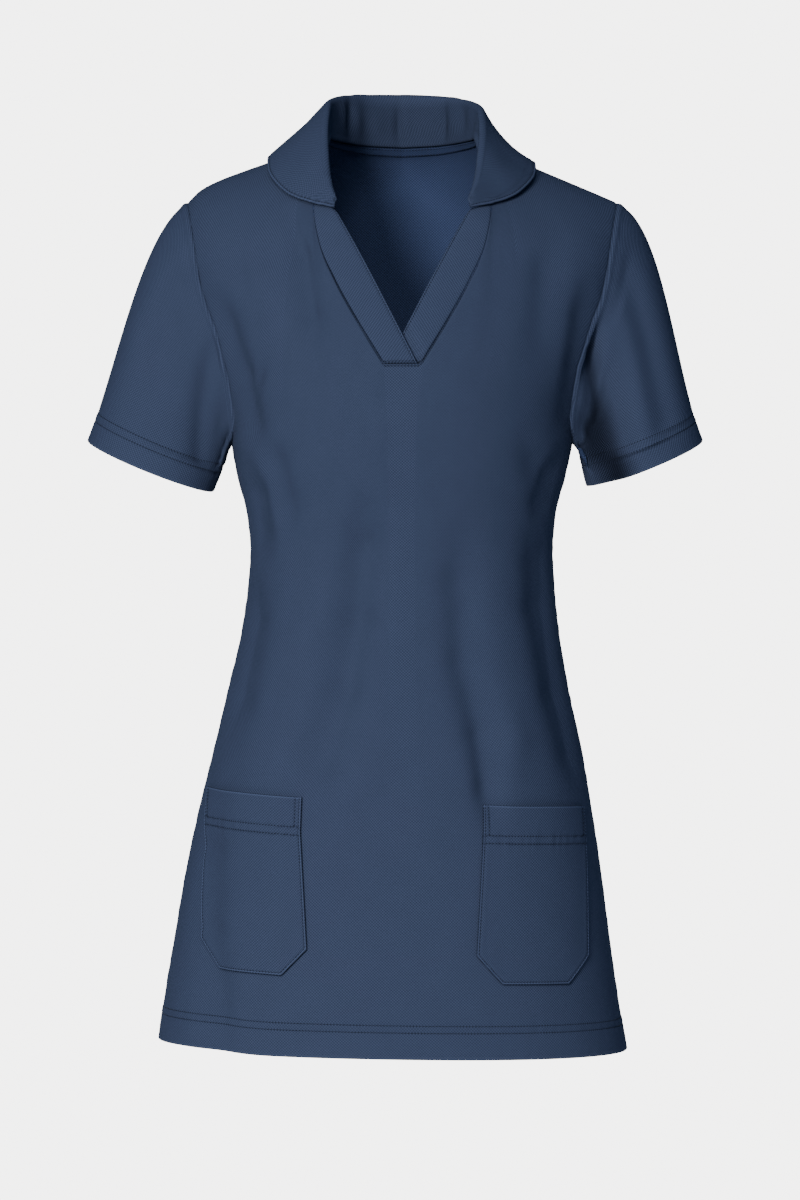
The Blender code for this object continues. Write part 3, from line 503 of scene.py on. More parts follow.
def fold_depth(panel, x, z):
    """How far the folds push the cloth of a panel out."""
    x, z = np.broadcast_arrays(x, z)
    lines = [np.array(line) / 1000 for line in FOLDS[panel]]
    return merged([fold(x, z, *ends) for line in lines for ends in zip(line, line[1:])])


def lerp(a, b, t):
    return a + (b - a) * t


def on_body(panel, x, z):
    """Points of the cloth's middle surface, at the places (x, z) seen from the front."""
    x, z = np.broadcast_arrays(np.asarray(x, float), np.asarray(z, float))
    wide = np.where(x < 0, half_width(-1, z), half_width(1, z))
    deep = read(BODY, panel, z)
    power = read(BODY, "squareness", z)
    share = np.clip(np.abs(x) / wide, 0.0, 1.0)
    ring = deep * (1 - share**power) ** (1 / power)
    drop = shoulder_height(x) - z
    turn = read(SHOULDER, "turn", np.abs(x))
    left = 1 - np.clip(drop / turn, 0.0, 1.0)
    over = (1 - left**SHOULDER_ROUNDNESS) ** (1 / SHOULDER_ROUNDNESS)
    y = PANEL_NUMBER[panel] * ring * over
    points = np.stack([x, y, z], axis=-1)
    out = unit(np.stack([x, y, np.zeros_like(z)], axis=-1))
    seam_fade = np.clip(over * (1 - share**FOLD_FADE_POWER) * FOLD_FADE, 0.0, 1.0)
    return points + out * (fold_depth(panel, x, z) * seam_fade)[..., None]


def armhole(panel, side, count):
    """Places (x, z) along the armhole seam, from the underarm to the shoulder's tip."""
    q = np.linspace(0.0, 1.0, FINE)
    low, high = ARMHOLE[1][0], ARMHOLE[-1][0]
    z = lerp(low, high, (1 - np.cos(math.pi * q)) / 2)
    x = side * read(ARMHOLE, "across", z)
    at = even(on_body(panel, x, z), count)
    return np.stack([np.interp(at, q, x), np.interp(at, q, z)], axis=-1)


def front_top(side):
    """Places along the top of half the front: V floor, neck edge, shoulder seam."""
    floor, neck, shoulder = FRONT_COLUMNS
    flat = np.stack(
        [np.linspace(0, V_FLOOR_WIDTH, floor + 1)[:-1], np.full(floor, V_FLOOR)], axis=-1
    )
    z = np.linspace(V_FLOOR, NECK_POINT_HEIGHT, FINE)
    x = read(NECK, "across", z)
    at = even(on_body("front", x, z), neck) * (FINE - 1)
    number = np.arange(FINE)
    edge = np.stack([np.interp(at, number, x), np.interp(at, number, z)], axis=-1)
    return with_shoulder(np.concatenate([flat, edge]), shoulder, side)


def back_top(side):
    """Places along the top of half the back: neck edge, shoulder seam."""
    neck, shoulder = BACK_COLUMNS
    q = np.linspace(0.0, 1.0, neck + 1)
    x = NECK_WIDTH * np.sin(q * math.pi / 2)
    edge = np.stack([x, back_neck_height(x)], axis=-1)
    return with_shoulder(edge, shoulder, side)


def back_neck_height(x):
    return lerp(BACK_NECK_HEIGHT, NECK_POINT_HEIGHT, np.abs(x) / NECK_WIDTH)


def with_shoulder(edge, count, side):
    x = np.linspace(NECK_WIDTH, SHOULDER_TIP, count + 1)[1:]
    z = shoulder_height(side * x)
    places = np.concatenate([edge, np.stack([x, z], axis=-1)])
    return places * [side, 1.0]


def hem_height(x):
    corner = np.clip((-x - HEM_RISE_FROM) / HEM_RISE_OVER, 0.0, 1.0)
    return HEM_HEIGHT + HEM_TILT * x + HEM_RISE * corner * corner * (3 - 2 * corner)


def half_panel(panel, side, top):
    """Half of the front or the back, from its middle line outwards."""
    last = len(top) - 1
    share = np.sin(np.linspace(0.0, math.pi / 2, last + 1))
    up = np.linspace(0.0, 1.0, LOWER_ROWS + 1)[:-1, None]
    z = lerp(HEM_HEIGHT, UNDERARM_HEIGHT, up) + 0 * share
    for _ in range(3):
        x = side * share * half_width(side, z)
        z = lerp(hem_height(x), UNDERARM_HEIGHT, up)
    low = np.stack([x, z], axis=-1)

    base_x = side * share * half_width(side, UNDERARM_HEIGHT)
    base = np.stack([base_x, np.full(last + 1, UNDERARM_HEIGHT)], axis=-1)
    t = 1 - (1 - np.linspace(0.0, 1.0, UPPER_ROWS + 1)) ** TOP_CROWDING
    from_corner = np.arange(last + 1) - neck_corner(panel)
    sweep = 1 + COLUMN_SWEEP * np.exp(-((from_corner / COLUMN_SWEEP_WIDTH[panel]) ** 2))
    t = np.broadcast_to(t[:, None], (len(t), last + 1))
    t = np.stack([t**sweep, t], axis=-1)
    hole = armhole(panel, side, UPPER_ROWS)
    hole[0] = base[-1]
    hole = hole[:, None]
    pull = (np.arange(last + 1) / last)[None, :, None] ** 2
    high = lerp(base[None], top[None], t)
    high = high + pull * (hole - lerp(hole[:1], hole[-1:], t[:, -1:]))
    places = np.concatenate([low, high])
    return on_body(panel, places[..., 0], places[..., 1])


def neck_corner(panel):
    """The column, counted from the middle, where the shoulder seam starts."""
    return sum(FRONT_COLUMNS[:2]) if panel == "front" else BACK_COLUMNS[0]


def panel_grid(panel):
    top = front_top if panel == "front" else back_top
    right = half_panel(panel, -1, top(-1))
    left = half_panel(panel, 1, top(1))
    return np.concatenate([right[:, :0:-1], left], axis=1)


def normals_of(grid):
    """The way a grid faces at each point, from the faces round it.

    Its rows run up and its columns run to +X, so the front of the body faces -Y.
    """
    facing = np.cross(grid[1:, 1:] - grid[:-1, :-1], grid[1:, :-1] - grid[:-1, 1:])
    total = np.zeros_like(grid)
    for rows in (slice(None, -1), slice(1, None)):
        for columns in (slice(None, -1), slice(1, None)):
            total[rows, columns] += facing
    return unit(total)


def front_normals(grid):
    normals = normals_of(grid)
    return normals * -np.sign(normals[..., 1].sum())


def surface_tree(*grids):
    """A search tree over the middle surfaces of some pieces."""
    points, faces = [], []
    for grid in grids:
        rows, columns = grid.shape[:2]
        number = np.arange(rows * columns).reshape(rows, columns) + len(points)
        corners = (number[:-1, :-1], number[:-1, 1:], number[1:, 1:], number[1:, :-1])
        faces.extend(np.stack(corners, axis=-1).reshape(-1, 4).tolist())
        points.extend(grid.reshape(-1, 3).tolist())
    return BVHTree.FromPolygons(points, faces)


def kept_clear(tree, point, clearance):
    """The point, moved straight away from the nearest cloth if it is too near."""
    place, _, _, distance = tree.find_nearest(Vector(point))
    if distance >= clearance:
        return point
    return np.array(place + (Vector(point) - place).normalized() * clearance)


def laid_on(tree, point, clearance):
    """The point, moved out so that it lies at least this far above the cloth."""
    place, normal, _, _ = tree.find_nearest(Vector(point))
    if normal.dot(place - Vector((0.0, 0.0, WAIST_HEIGHT))) < 0:
        normal = -normal
    if (Vector(point) - place).dot(normal) >= clearance:
        return point
    return np.array(place + normal * clearance)


def armhole_ring(side, grids):
    """The seam's points from under the arm, and the ways out of the body there."""
    edge, inside = (0, 2) if side < 0 else (-1, -3)
    seam, facing, inward = [], [], []
    for panel, way in (("front", 1), ("back", -1)):
        grid = grids[panel]
        normals = normals_of(grid) * way
        rows = np.arange(LOWER_ROWS, len(grid))
        rows = rows if way > 0 else rows[-2:0:-1]
        seam.append(grid[rows, edge])
        facing.append(normals[rows, edge])
        inward.append(grid[rows - 1, inside])
    seam, facing, inward = map(np.concatenate, (seam, facing, inward))
    facing[0, 1] = 0.0
    facing[UPPER_ROWS, 1] = 0.0
    facing = unit(facing)
    along = np.roll(seam, -1, axis=0) - np.roll(seam, 1, axis=0)
    leaving = unit(np.cross(along, facing))
    wrong_way = ((seam - inward) * leaving).sum(axis=1, keepdims=True) < 0
    return seam, np.where(wrong_way, -leaving, leaving)


def collar_seam(side, share):
    """The collar's lower edge: round the back, down the front's edge, over the band."""
    inward, sunk = CLEAR, COLLAR_SINKS
    if share <= COLLAR_NECK_POINT:
        x = side * NECK_WIDTH * math.sin(share / COLLAR_NECK_POINT * math.pi / 2)
        point = on_body("back", x, back_neck_height(x))
    elif share <= COLLAR_BAND:
        part = (share - COLLAR_NECK_POINT) / (COLLAR_BAND - COLLAR_NECK_POINT)
        z = lerp(NECK_POINT_HEIGHT, BAND_TOP, part)
        point = on_body("front", side * read(NECK, "across", z), z)
    else:
        part = (share - COLLAR_BAND) / (1 - COLLAR_BAND)
        outer = read(NECK, "across", BAND_TOP)
        x = side * lerp(outer, BAND_TOP_INNER, part)
        point = on_body("front", x, BAND_TOP + (COLLAR_LIFT - BAND_SLANT) * part)
        inward, sunk = inward * (1 - part), sunk * (1 - part)
    middle = np.array([0.0, 0.0, point[2]])
    return point + unit(middle - point) * inward - [0.0, 0.0, sunk]


def collar_size(name, share, power):
    """A column of the collar's table. Power 2 keeps it level across the middle of the back."""
    shares = column(COLLAR, "share")
    return float(curve(shares**power, column(COLLAR, name), share**power))


def spread(grid, low, high, count):
    """The grid with rows at set distances from its two ends, and even between them."""
    low, high = np.array(low), np.array(high)[::-1]
    lines = []
    for line, along in zip(grid.swapaxes(0, 1), run_length(grid).T):
        middle = np.linspace(low[-1], along[-1] - high[0], count + 1)[1:-1]
        lines.append(sampled(line, along, np.concatenate([low, middle, along[-1] - high])))
    return np.stack(lines, axis=1)


def spread_across(grid, low, high, count):
    return spread(grid.swapaxes(0, 1), low, high, count).swapaxes(0, 1)


def lengths(grid):
    """How far each point is along its row and up its column."""
    return run_length(grid.swapaxes(0, 1)).T, run_length(grid)


def edge_highlight_and_shadow(distance):
    """A painted highlight along a turned edge, and a painted shadow on its rim."""
    rim = EDGE_SHADE * bump(distance, EDGE_PAINT_WIDTH)
    return rim + EDGE_HIGHLIGHT * bump(distance - EDGE_HIGHLIGHT_AT, EDGE_PAINT_WIDTH)


def sewn(distance, rows=(0.0,)):
    """Darker cloth along rows of stitches."""
    return ROW_SHADE * sum(bump(distance - row, ROW_SHADE_WIDTH) for row in rows)


def grooved(distance, rows=(0.0,)):
    """The cloth pulled in along rows of stitches."""
    return -GROOVE * sum(bump(distance - row, GROOVE_WIDTH) for row in rows)


def seamed(distance):
    """Darker cloth in a seam."""
    return SEAM_SHADE * bump(distance, SEAM_SHADE_WIDTH)


def ripple(along, length, shift=0.0):
    """An uneven wave along a line, from -1 to 1."""
    turn = 2 * math.pi * along / length
    slow = np.sin(turn / 4.3 + shift) + 0.6 * np.sin(turn / 2.6 + 2 * shift)
    return np.sin(turn + 1.6 * slow + shift) * (0.7 + 0.3 * np.sin(turn / 5.7 + shift))


def pucker(name, along, distance, side=0):
    """The little waves along an edge, at this distance from it."""
    share, length, shift, at, width = PUCKERS[name]
    return share * PUCKER * ripple(along, length, shift + side) * bump(distance - at, width)


def rounded(distance, thickness):
    """A wall's thickness this far from a rounded edge."""
    t = 1 - np.clip(distance / (ROUND_EDGE * thickness), 0.0, 1.0)
    return thickness * np.maximum(np.sqrt(1 - t * t), EDGE_WALL)


def shell(name, node, grid, thickness, normals, cloths, painted_light_and_shade, level=0):
    """A piece: the grid as a closed wall. Its UV map is in metres along the cloth.

    Cloths are the knit outside and inside. The painted light and shade is how much lighter each
    point is painted, for painted highlights along edges and painted shade on rims, in seams,
    stitch rows and folds, and level is the row that is straight when the piece lies flat.
    """
    rows, columns = grid.shape[:2]
    half = np.broadcast_to(thickness, (rows, columns))[..., None] / 2
    points = np.concatenate([grid + normals * half, grid - normals * half]).reshape(-1, 3)
    number = np.arange(rows * columns).reshape(rows, columns)
    corners = (number[:-1, :-1], number[:-1, 1:], number[1:, 1:], number[1:, :-1])
    faces = np.stack(corners, axis=-1).reshape(-1, 4)
    behind = rows * columns
    loop = np.concatenate((number[0, :-1], number[:-1, -1], number[-1, :0:-1], number[:, 0][::-1]))
    rim = np.stack([loop[1:], loop[:-1], loop[:-1] + behind, loop[1:] + behind], axis=-1)
    faces = np.concatenate([faces, faces[:, ::-1] + behind, rim])
    if signed_volume(points, faces) < 0:
        faces = faces[:, ::-1]
    across, up = lengths(grid)
    across = across - across[:, columns // 2][:, None]
    up = up - up[level]
    uv = np.tile(np.stack([across, up], axis=-1).reshape(-1, 2), (2, 1))
    piece = mesh_piece(name, points.tolist(), faces.tolist(), cloths[0])
    piece.data.materials.append(cloths[1])
    inner = np.arange(len(faces)) // ((rows - 1) * (columns - 1)) == 1
    piece.data.polygons.foreach_set("material_index", inner.astype(np.int32))
    layer = piece.data.uv_layers.new(name="cloth")
    layer.data.foreach_set("uv", uv[faces.reshape(-1)].reshape(-1))
    shade = piece.data.attributes.new("painted_light_and_shade", "FLOAT", "POINT")
    painted_light_and_shade = np.broadcast_to(painted_light_and_shade, (rows, columns))
    shade.data.foreach_set("value", np.tile(painted_light_and_shade.reshape(-1), 2).astype(np.float32))
    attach(piece, "root")
    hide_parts(node)
    return piece


def mesh_piece(name, points, faces, material):
    mesh = bpy.data.meshes.new(name)
    mesh.from_pydata(points, [], faces)
    mesh.shade_smooth()
    mesh.materials.append(material)
    return linked(name, mesh)


def signed_volume(points, faces):
    a, b, c, d = (points[faces[:, i]] for i in range(4))
    return float((a * (np.cross(b, c) + np.cross(c, d))).sum() / 6)


def stitches(name, lines, thread):
    """Rows of stitches: each line is (points, the ways the cloth faces there)."""
    points, faces = [], []
    angle = np.arange(STITCH_SIDES) * 2 * math.pi / STITCH_SIDES
    for line, facing in lines:
        length = run_length(line)
        count = max(int(length[-1] / (STITCH + STITCH_GAP)), 1)
        pitch = length[-1] / count
        centre = (np.arange(count) + 0.5) * pitch
        ends = [centre + side * STITCH / 2 for side in (-1, 1)]
        here = [sampled(line, length, at) for at in (centre, *ends)]
        out = unit(sampled(facing, length, centre))
        along = unit(here[2] - here[1])
        aside = unit(np.cross(along, out))
        for place in range(count):
            start = len(points)
            for offset, size, lifted in STITCH_RINGS:
                middle = here[0][place] + along[place] * offset * STITCH
                middle = middle + out[place] * lifted * THREAD
                for turn in angle:
                    high = out[place] * STITCH_FLATNESS * math.sin(turn)
                    wide = aside[place] * math.cos(turn) + high
                    points.append(middle + wide * THREAD * size)
            for ring in range(len(STITCH_RINGS) - 1):
                for side in range(STITCH_SIDES):
                    a = start + ring * STITCH_SIDES + side
                    b = start + ring * STITCH_SIDES + (side + 1) % STITCH_SIDES
                    faces.append((a, b, b + STITCH_SIDES, a + STITCH_SIDES))
            last = start + STITCH_SIDES * (len(STITCH_RINGS) - 1)
            faces.append(tuple(range(start, start + STITCH_SIDES))[::-1])
            faces.append(tuple(range(last, last + STITCH_SIDES)))
    piece = mesh_piece(name, [list(point) for point in points], faces, thread)
    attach(piece, "root")
    return piece


def outer_line(grid, normals, thickness, rows, columns):
    """A line on the outer face of a shell, for stitches."""
    high = np.broadcast_to(thickness, grid.shape[:2])[rows, columns] / 2
    facing = normals[rows, columns]
    return grid[rows, columns] + facing * high[:, None], facing


def dressed(node, grid, normals, wall, cloth, painted_light_and_shade, thread, places, level=0):
    """A piece's cloth, and its stitches in rows at these places of its grid."""
    piece = shell(node + "_cloth", node, grid, wall, normals, cloth, painted_light_and_shade, level)
    lines = [outer_line(grid, normals, wall, *place) for place in places]
    return piece, stitches(node + "_stitches", lines, thread)


def nearest(values, wanted):
    return int(np.argmin(np.abs(np.asarray(values) - wanted)))


def stitched_distances(rows):
    """Distances that put a grid line on each row of stitches and in its groove."""
    marks = [row + step for row in rows for step in BESIDE_ROW]
    low = [d for d in (*NEAREST_EDGE, *TOWARDS_ROWS) if d < marks[0] - ROW_CLEAR]
    return sorted(set(low + marks + [rows[-1] + PAST_ROWS]))


def turned(distance, rows):
    """1 where the edge is turned in, and 0 past its last row of stitches."""
    return np.clip((rows[1] + TURN_ENDS - distance) / SOFT_STEP, 0.0, 1.0)


def hemmed(name, across, hem, rows, side=0):
    """The lift, wall and painted light and shade of a sheet that has a turned hem, and seams
    elsewhere: a painted highlight along the hem's edge, and painted shade on its rim, in the seams
    and along the rows of stitches.
    """
    seam = hem.max(axis=0) - hem
    sides = np.minimum(across, across[:, -1:] - across)
    lift = -SEAM_DIP * (bump(sides, SEAM_ROLL) + bump(seam, SEAM_ROLL)) + grooved(hem, rows)
    lift = lift + pucker(name, across, hem, side) + pucker(name + "_edge", across, hem)
    double = turned(hem, rows)
    wall = rounded(hem, lerp(SINGLE, DOUBLE, double))
    wall = np.minimum(wall, rounded(np.minimum(sides, seam), SINGLE) + double)
    painted_light_and_shade = seamed(seam) + 0.5 * seamed(sides) + 0.4 * edge_highlight_and_shadow(hem) + sewn(hem, rows)
    return lift, wall, painted_light_and_shade


def make_panel(panel, grid, cloth, thread):
    """The front or the back, with its seams, its turned hem and its stitches."""
    front = panel == "front"
    way = 1 if front else -1
    grid = spread(grid, stitched_distances(HEM_ROWS), NECK_MARKS, PANEL_GRID[0])
    grid = spread_across(grid, NEAREST_EDGE, NEAREST_EDGE, PANEL_GRID[1])
    normals = way * normals_of(grid)
    across, up = lengths(grid)
    sides = np.minimum(across, across[:, -1:] - across)
    below_neck = up[-1:] - up - NECK_STITCH
    neck = np.abs(grid[-1, :, 0]) < NECK_WIDTH
    lift, wall, painted_light_and_shade = hemmed("hem", across, up, HEM_ROWS)
    lift = lift + grooved(below_neck) * neck * front + pucker("side", up, sides)
    # painted shade along the row of stitches under the neck
    painted_light_and_shade = painted_light_and_shade + sewn(below_neck) * neck * front
    grid[..., 1] += way * SIDE_CLOSES * bump(sides, SEAM_ROLL)
    grid = grid + normals * lift[..., None]
    places = [(nearest(up[:, 0], row), slice(2, -2)) for row in HEM_ROWS]
    if front:
        places.append((len(grid) - 1 - nearest(NECK_MARKS, NECK_STITCH), np.flatnonzero(neck)))
    return dressed(panel, grid, way * normals_of(grid), wall, cloth, painted_light_and_shade, thread, places)


def sleeve_folds(side, share, along):
    """How far a sleeve's folds push the cloth out, round it and down it."""
    x, y = share * SLEEVE_ROUND, along * SLEEVE_LENGTH
    depths = []
    for which, share0, along0, share1, along1, *size in SLEEVE_FOLDS:
        if which == side:
            start = np.array([share0 * SLEEVE_ROUND, along0 * SLEEVE_LENGTH, *size])
            end = np.array([share1 * SLEEVE_ROUND, along1 * SLEEVE_LENGTH, *size])
            depths.append(fold(x, y, start, end))
    return merged(depths)


def make_sleeve(side, grids, cloth, thread):
    """A tube from the armhole seam to the cuff, open along its seam under the arm."""
    node = "sleeve_right" if side < 0 else "sleeve_left"
    _, inner_x, inner_z, outer_x, outer_z, half_depth = SLEEVES[0 if side < 0 else 1]
    seam, leaving = armhole_ring(side, grids)
    seam, leaving = (np.concatenate([line, line[:1]]) for line in (seam, leaving))
    start = seam + leaving * SLEEVE_GAP

    share = np.linspace(0.0, 1.0, len(seam))
    turn = share[:, None] * 2 * math.pi
    inner = np.array([side * inner_x, 0.0, inner_z])
    outer = np.array([side * outer_x, 0.0, outer_z])
    middle, reach = (inner + outer) / 2, (outer - inner) / 2
    forward = np.array([0.0, -half_depth, -CUFF_DROP])
    end = middle - np.cos(turn) * reach + np.sin(turn) * forward
    axis = unit(np.array([side * reach[2], 0.0, -abs(reach[0])]))

    length = np.linalg.norm(end - start, axis=1, keepdims=True)
    first = unit(np.array(SLEEVE_LEAVES) * [side, 1.0, 1.0] + SLEEVE_RISES * leaving)
    first = first * length * SLEEVE_HEAD
    last = axis * length * SLEEVE_TAIL
    t = np.linspace(0.0, 1.0, SLEEVE_ROWS)[:, None, None]
    grid = cubic(t, start, first, end, last)
    out = normals_of(grid)
    way = 1 if (out[-1] * (grid[-1] - middle)).sum() > 0 else -1
    power, over = SLEEVE_FADE
    fade = np.sin(math.pi * share) ** power * np.clip(t[..., 0] / over, 0.0, 1.0)
    folds = sleeve_folds(side, *np.broadcast_arrays(share, t[..., 0])) * fade
    grid = grid + way * out * folds[..., None]

    cuff = stitched_distances(CUFF_ROWS)
    grid = spread(grid, SLEEVE_MARKS, cuff, SLEEVE_GRID[0])
    grid = spread_across(grid, NEAREST_EDGE, NEAREST_EDGE, SLEEVE_GRID[1])
    normals = way * normals_of(grid)
    across, up = lengths(grid)
    ridge, ridge_at, ridge_width = ARMHOLE_RIDGE
    lift, wall, painted_light_and_shade = hemmed("cuff", across, up[-1:] - up, CUFF_ROWS, side)
    lift = lift + ridge * bump(up - ridge_at, ridge_width) + pucker("armhole", across, up)
    grid = grid + normals * lift[..., None]
    folds = sleeve_folds(side, across / across[:, -1:], up / up[-1:])
    # painted shade in the sleeve's deep folds, darker the deeper they go
    painted_light_and_shade = painted_light_and_shade + FOLD_SHADE * np.clip(-folds - FOLD_SHADE_FROM, 0.0, None)
    places = [(len(grid) - 1 - nearest(cuff, row), slice(2, -2)) for row in CUFF_ROWS]
    normals = way * normals_of(grid)
    return dressed(node, grid, normals, wall, cloth, painted_light_and_shade, thread, places, level=-1)


def band_middle(side, grid):
    """The middle surface of one neck band, beside the front panel's cut edge."""
    middle = grid.shape[1] // 2
    floor, neck, _ = FRONT_COLUMNS
    edge = grid[-1, middle + side * np.arange(floor, floor + neck + 1)]
    below = edge[edge[:, 2] < BAND_TOP - BAND_LAST_STEP]
    top = [np.interp(BAND_TOP, edge[:, 2], edge[:, i]) for i in range(3)]
    edge = np.concatenate([below, [top]])
    up = (edge[:, 2] - V_FLOOR) / (BAND_TOP - V_FLOOR)
    inner_x = side * lerp(-BAND_BOTTOM_INNER, BAND_TOP_INNER, up)
    across = np.linspace(0.0, 1.0, BAND_COLUMNS + 1)
    x = lerp(inner_x[:, None], edge[:, :1], across)
    z = edge[:, 2:] - BAND_SLANT * (1 - across) * up[:, None] ** 4
    band = on_body("front", x, z)
    band[:, -1] = edge
    run = unit(np.gradient(edge, axis=0) * [1, 0, 1])
    band[:, -1] += (SEAM_GAP + BAND_ROOM) * np.stack(
        [-side * run[:, 2], 0 * up, side * run[:, 0]], axis=-1
    )
    band[0, :, 2] += SEAM_GAP
    band[-1, :, 2] -= BAND_TOP_SHORT
    if side > 0:
        upper_edge = lerp(BAND_BOTTOM_INNER, -BAND_TOP_INNER, up)[:, None]
        past = (upper_edge + BAND_CROSSES_OVER - x) / (BAND_CROSSES_OVER - BAND_LEVEL_FOR)
        past = np.clip(past, 0.0, 1.0)
        band[..., 1] += past * past * (3 - 2 * past) * (DOUBLE + BAND_DIP_ROOM)
    return band


def make_band(side, band, cloth, thread):
    """A double strip along the V, stitched close to its inner edge and along its foot."""
    node = "neck_band_right" if side < 0 else "neck_band_left"
    grid = spread(band, BAND_MARKS, NEAREST_EDGE, BAND_GRID[0])
    grid = spread_across(grid, BAND_MARKS, NEAREST_EDGE, BAND_GRID[1])
    normals = front_normals(grid)
    across, up = lengths(grid)
    seam = across[:, -1:] - across
    rows = (EDGE_STITCH,)
    lift = -SEAM_DIP * bump(seam, SEAM_ROLL) - 0.6 * SEAM_DIP * bump(up, SEAM_ROLL)
    lift = lift + grooved(across, rows) + grooved(up, rows) + pucker("band", up, across, side)
    lift = lift + BAND_SWELL * np.sin(math.pi * across / across[:, -1:])
    grid = grid + normals * lift[..., None]
    normals = front_normals(grid)
    wall = rounded(np.minimum(np.minimum(across, seam), up), DOUBLE)
    # painted highlight along the inner edge, and painted shade on its rim, in the seams and along
    # the stitch rows
    painted_light_and_shade = 0.7 * edge_highlight_and_shadow(across) + 0.6 * seamed(seam) + 0.5 * seamed(up)
    painted_light_and_shade = painted_light_and_shade + sewn(across, rows) + sewn(up, rows)
    column, row = nearest(across[len(grid) // 2], EDGE_STITCH), nearest(up[:, 8], EDGE_STITCH)
    places = [(slice(3, None), column), (row, slice(3, -3))]
    return dressed(node, grid, normals, wall, cloth, painted_light_and_shade, thread, places)


def make_tape(grid, cloth, thread):
    """The narrow strip inside the back neck, with a row of stitches along each edge."""
    middle = grid.shape[1] // 2
    reach = BACK_COLUMNS[0] - TAPE_SHORT
    columns = grid[::-1, middle - reach : middle + reach + 1].swapaxes(0, 1)
    below = np.linspace(TAPE_BELOW_EDGE + TAPE_WIDTH, TAPE_BELOW_EDGE, TAPE_STEPS)
    tape = np.stack([sampled(line, run_length(line), below) for line in columns], axis=1)
    tape = tape + normals_of(tape) * (SINGLE + 2 * SEAM_GAP)
    tape = spread(tape, TAPE_MARKS, TAPE_MARKS, TAPE_ROWS)
    normals = normals_of(tape)
    _, up = lengths(tape)
    edge = np.minimum(up, up[-1:] - up)
    tape = tape + normals * (TAPE_LIFT * np.clip(edge / TAPE_LIFT_OVER, 0.0, 1.0))[..., None]
    # painted highlight along the tape's edges, and painted shade on their rims and along the
    # stitch rows
    painted_light_and_shade = 0.5 * edge_highlight_and_shadow(edge) + sewn(edge - TAPE_STITCH)
    rows = (TAPE_STITCH, TAPE_WIDTH - TAPE_STITCH)
    places = [(nearest(up[:, 4], row), slice(1, -1)) for row in rows]
    wall = rounded(edge, SINGLE)
    return dressed("back_neck_tape", tape, normals, wall, cloth, painted_light_and_shade, thread, places)


def collar_point(name, side, share):
    x, y, z = (collar_size(f"{name}_{axis}", share, power) for axis, power in COLLAR_AXES)
    return np.array([side * x, y, z])


def collar_section(side, share, tree):
    """One section: up the stand, over the fold and down to the outer edge."""
    fold, edge = collar_point("fold", side, share), collar_point("edge", side, share)
    bulge = collar_size("right_bulge" if side < 0 else "left_bulge", share, 2)
    if side > 0:
        fold += [collar_size("left_out", share, 2), 0.0, -collar_size("left_lower", share, 2)]
    seam = kept_clear(tree, collar_seam(side, share), LIES_ABOVE)
    edge = laid_on(tree, edge, LIES_ABOVE + COLLAR_LOOSE)
    up = unit(fold - seam)
    out = edge - fold
    away = unit(out - up * (out @ up))
    radius = min(COLLAR_RADIUS, COLLAR_FOLD_SHARE * np.linalg.norm(fold - seam))
    centre = fold - up * radius + away * radius
    stand_top = centre - away * radius
    fall = unit(edge - centre)
    last_turn = math.atan2(fall @ away, fall @ up)
    points = [lerp(seam, stand_top, t) for t in np.linspace(0, 1, STAND_STEPS + 1)[:-1]]
    points = [kept_clear(tree, point, LIES_ABOVE) for point in points]
    for turn in np.linspace(0.0, last_turn, FOLD_STEPS + 1):
        points.append(centre + radius * (up * math.sin(turn) - away * math.cos(turn)))
    start = points[-1]
    reach = np.linalg.norm(edge - start)
    swell = unit(up - fall * (fall @ up)) * bulge * min(1.0, reach / COLLAR_BULGE_OVER)
    for t in np.linspace(0.0, 1.0, FALL_STEPS + 1)[1:]:
        point = lerp(start, edge, t) + swell * 4 * t * (1 - t)
        points.append(laid_on(tree, point, LIES_ABOVE + COLLAR_LOOSE))
    return points


def make_collar(tree, cloth, thread):
    """The turned collar: two layers, stitched close to its outer edge."""
    shares = np.linspace(0.0, 1.0, COLLAR_STATIONS + 1) ** COLLAR_CROWDING
    right = [collar_section(-1, share, tree) for share in shares[::-1]]
    left = [collar_section(1, share, tree) for share in shares[1:]]
    grid = spread(np.array(right + left), COLLAR_MARKS, COLLAR_MARKS, COLLAR_GRID[0])
    grid = spread_across(grid, NEAREST_EDGE, COLLAR_MARKS, COLLAR_GRID[1])
    normals = normals_of(grid)
    way = 1 if normals[len(grid) // 2, -6] @ np.array([0.0, 1.0, 0.3]) > 0 else -1
    across, up = lengths(grid)
    part = across / across[:, -1:]
    edge = across[:, -1:] - across
    ends = np.minimum(up, up[-1:] - up)
    behind = np.clip(grid[..., 1] / STAND_BEHIND, 0.0, 1.0)
    lift = grooved(edge, (COLLAR_STITCH,)) + pucker("collar", up, edge)
    on_stand = bump(part - STAND_MIDDLE, STAND_REACH) * behind
    for at, wide, depth in COLLAR_RIPPLES:
        lift = lift + depth * bump(grid[..., 0] - at, wide) * on_stand
    grid = grid + way * normals * lift[..., None]
    normals = way * normals_of(grid)
    outer = np.minimum(edge, ends)
    wall = rounded(np.minimum(outer, across), DOUBLE)
    stand = np.clip((STAND_ENDS[0] - part) / STAND_ENDS[1], 0.0, 1.0)
    # painted highlight along the outer edge, and painted shade on its rim, along the stitches, at
    # the lower seam and over the stand behind the neck
    painted_light_and_shade = 0.6 * edge_highlight_and_shadow(outer) + sewn(edge, (COLLAR_STITCH,)) + 0.2 * seamed(across)
    painted_light_and_shade = painted_light_and_shade + STAND_SHADE * behind * stand
    places = [(slice(5, -5), len(grid[0]) - 1 - nearest(COLLAR_MARKS, COLLAR_STITCH))]
    return dressed("collar", grid, normals, wall, cloth, painted_light_and_shade, thread, places)


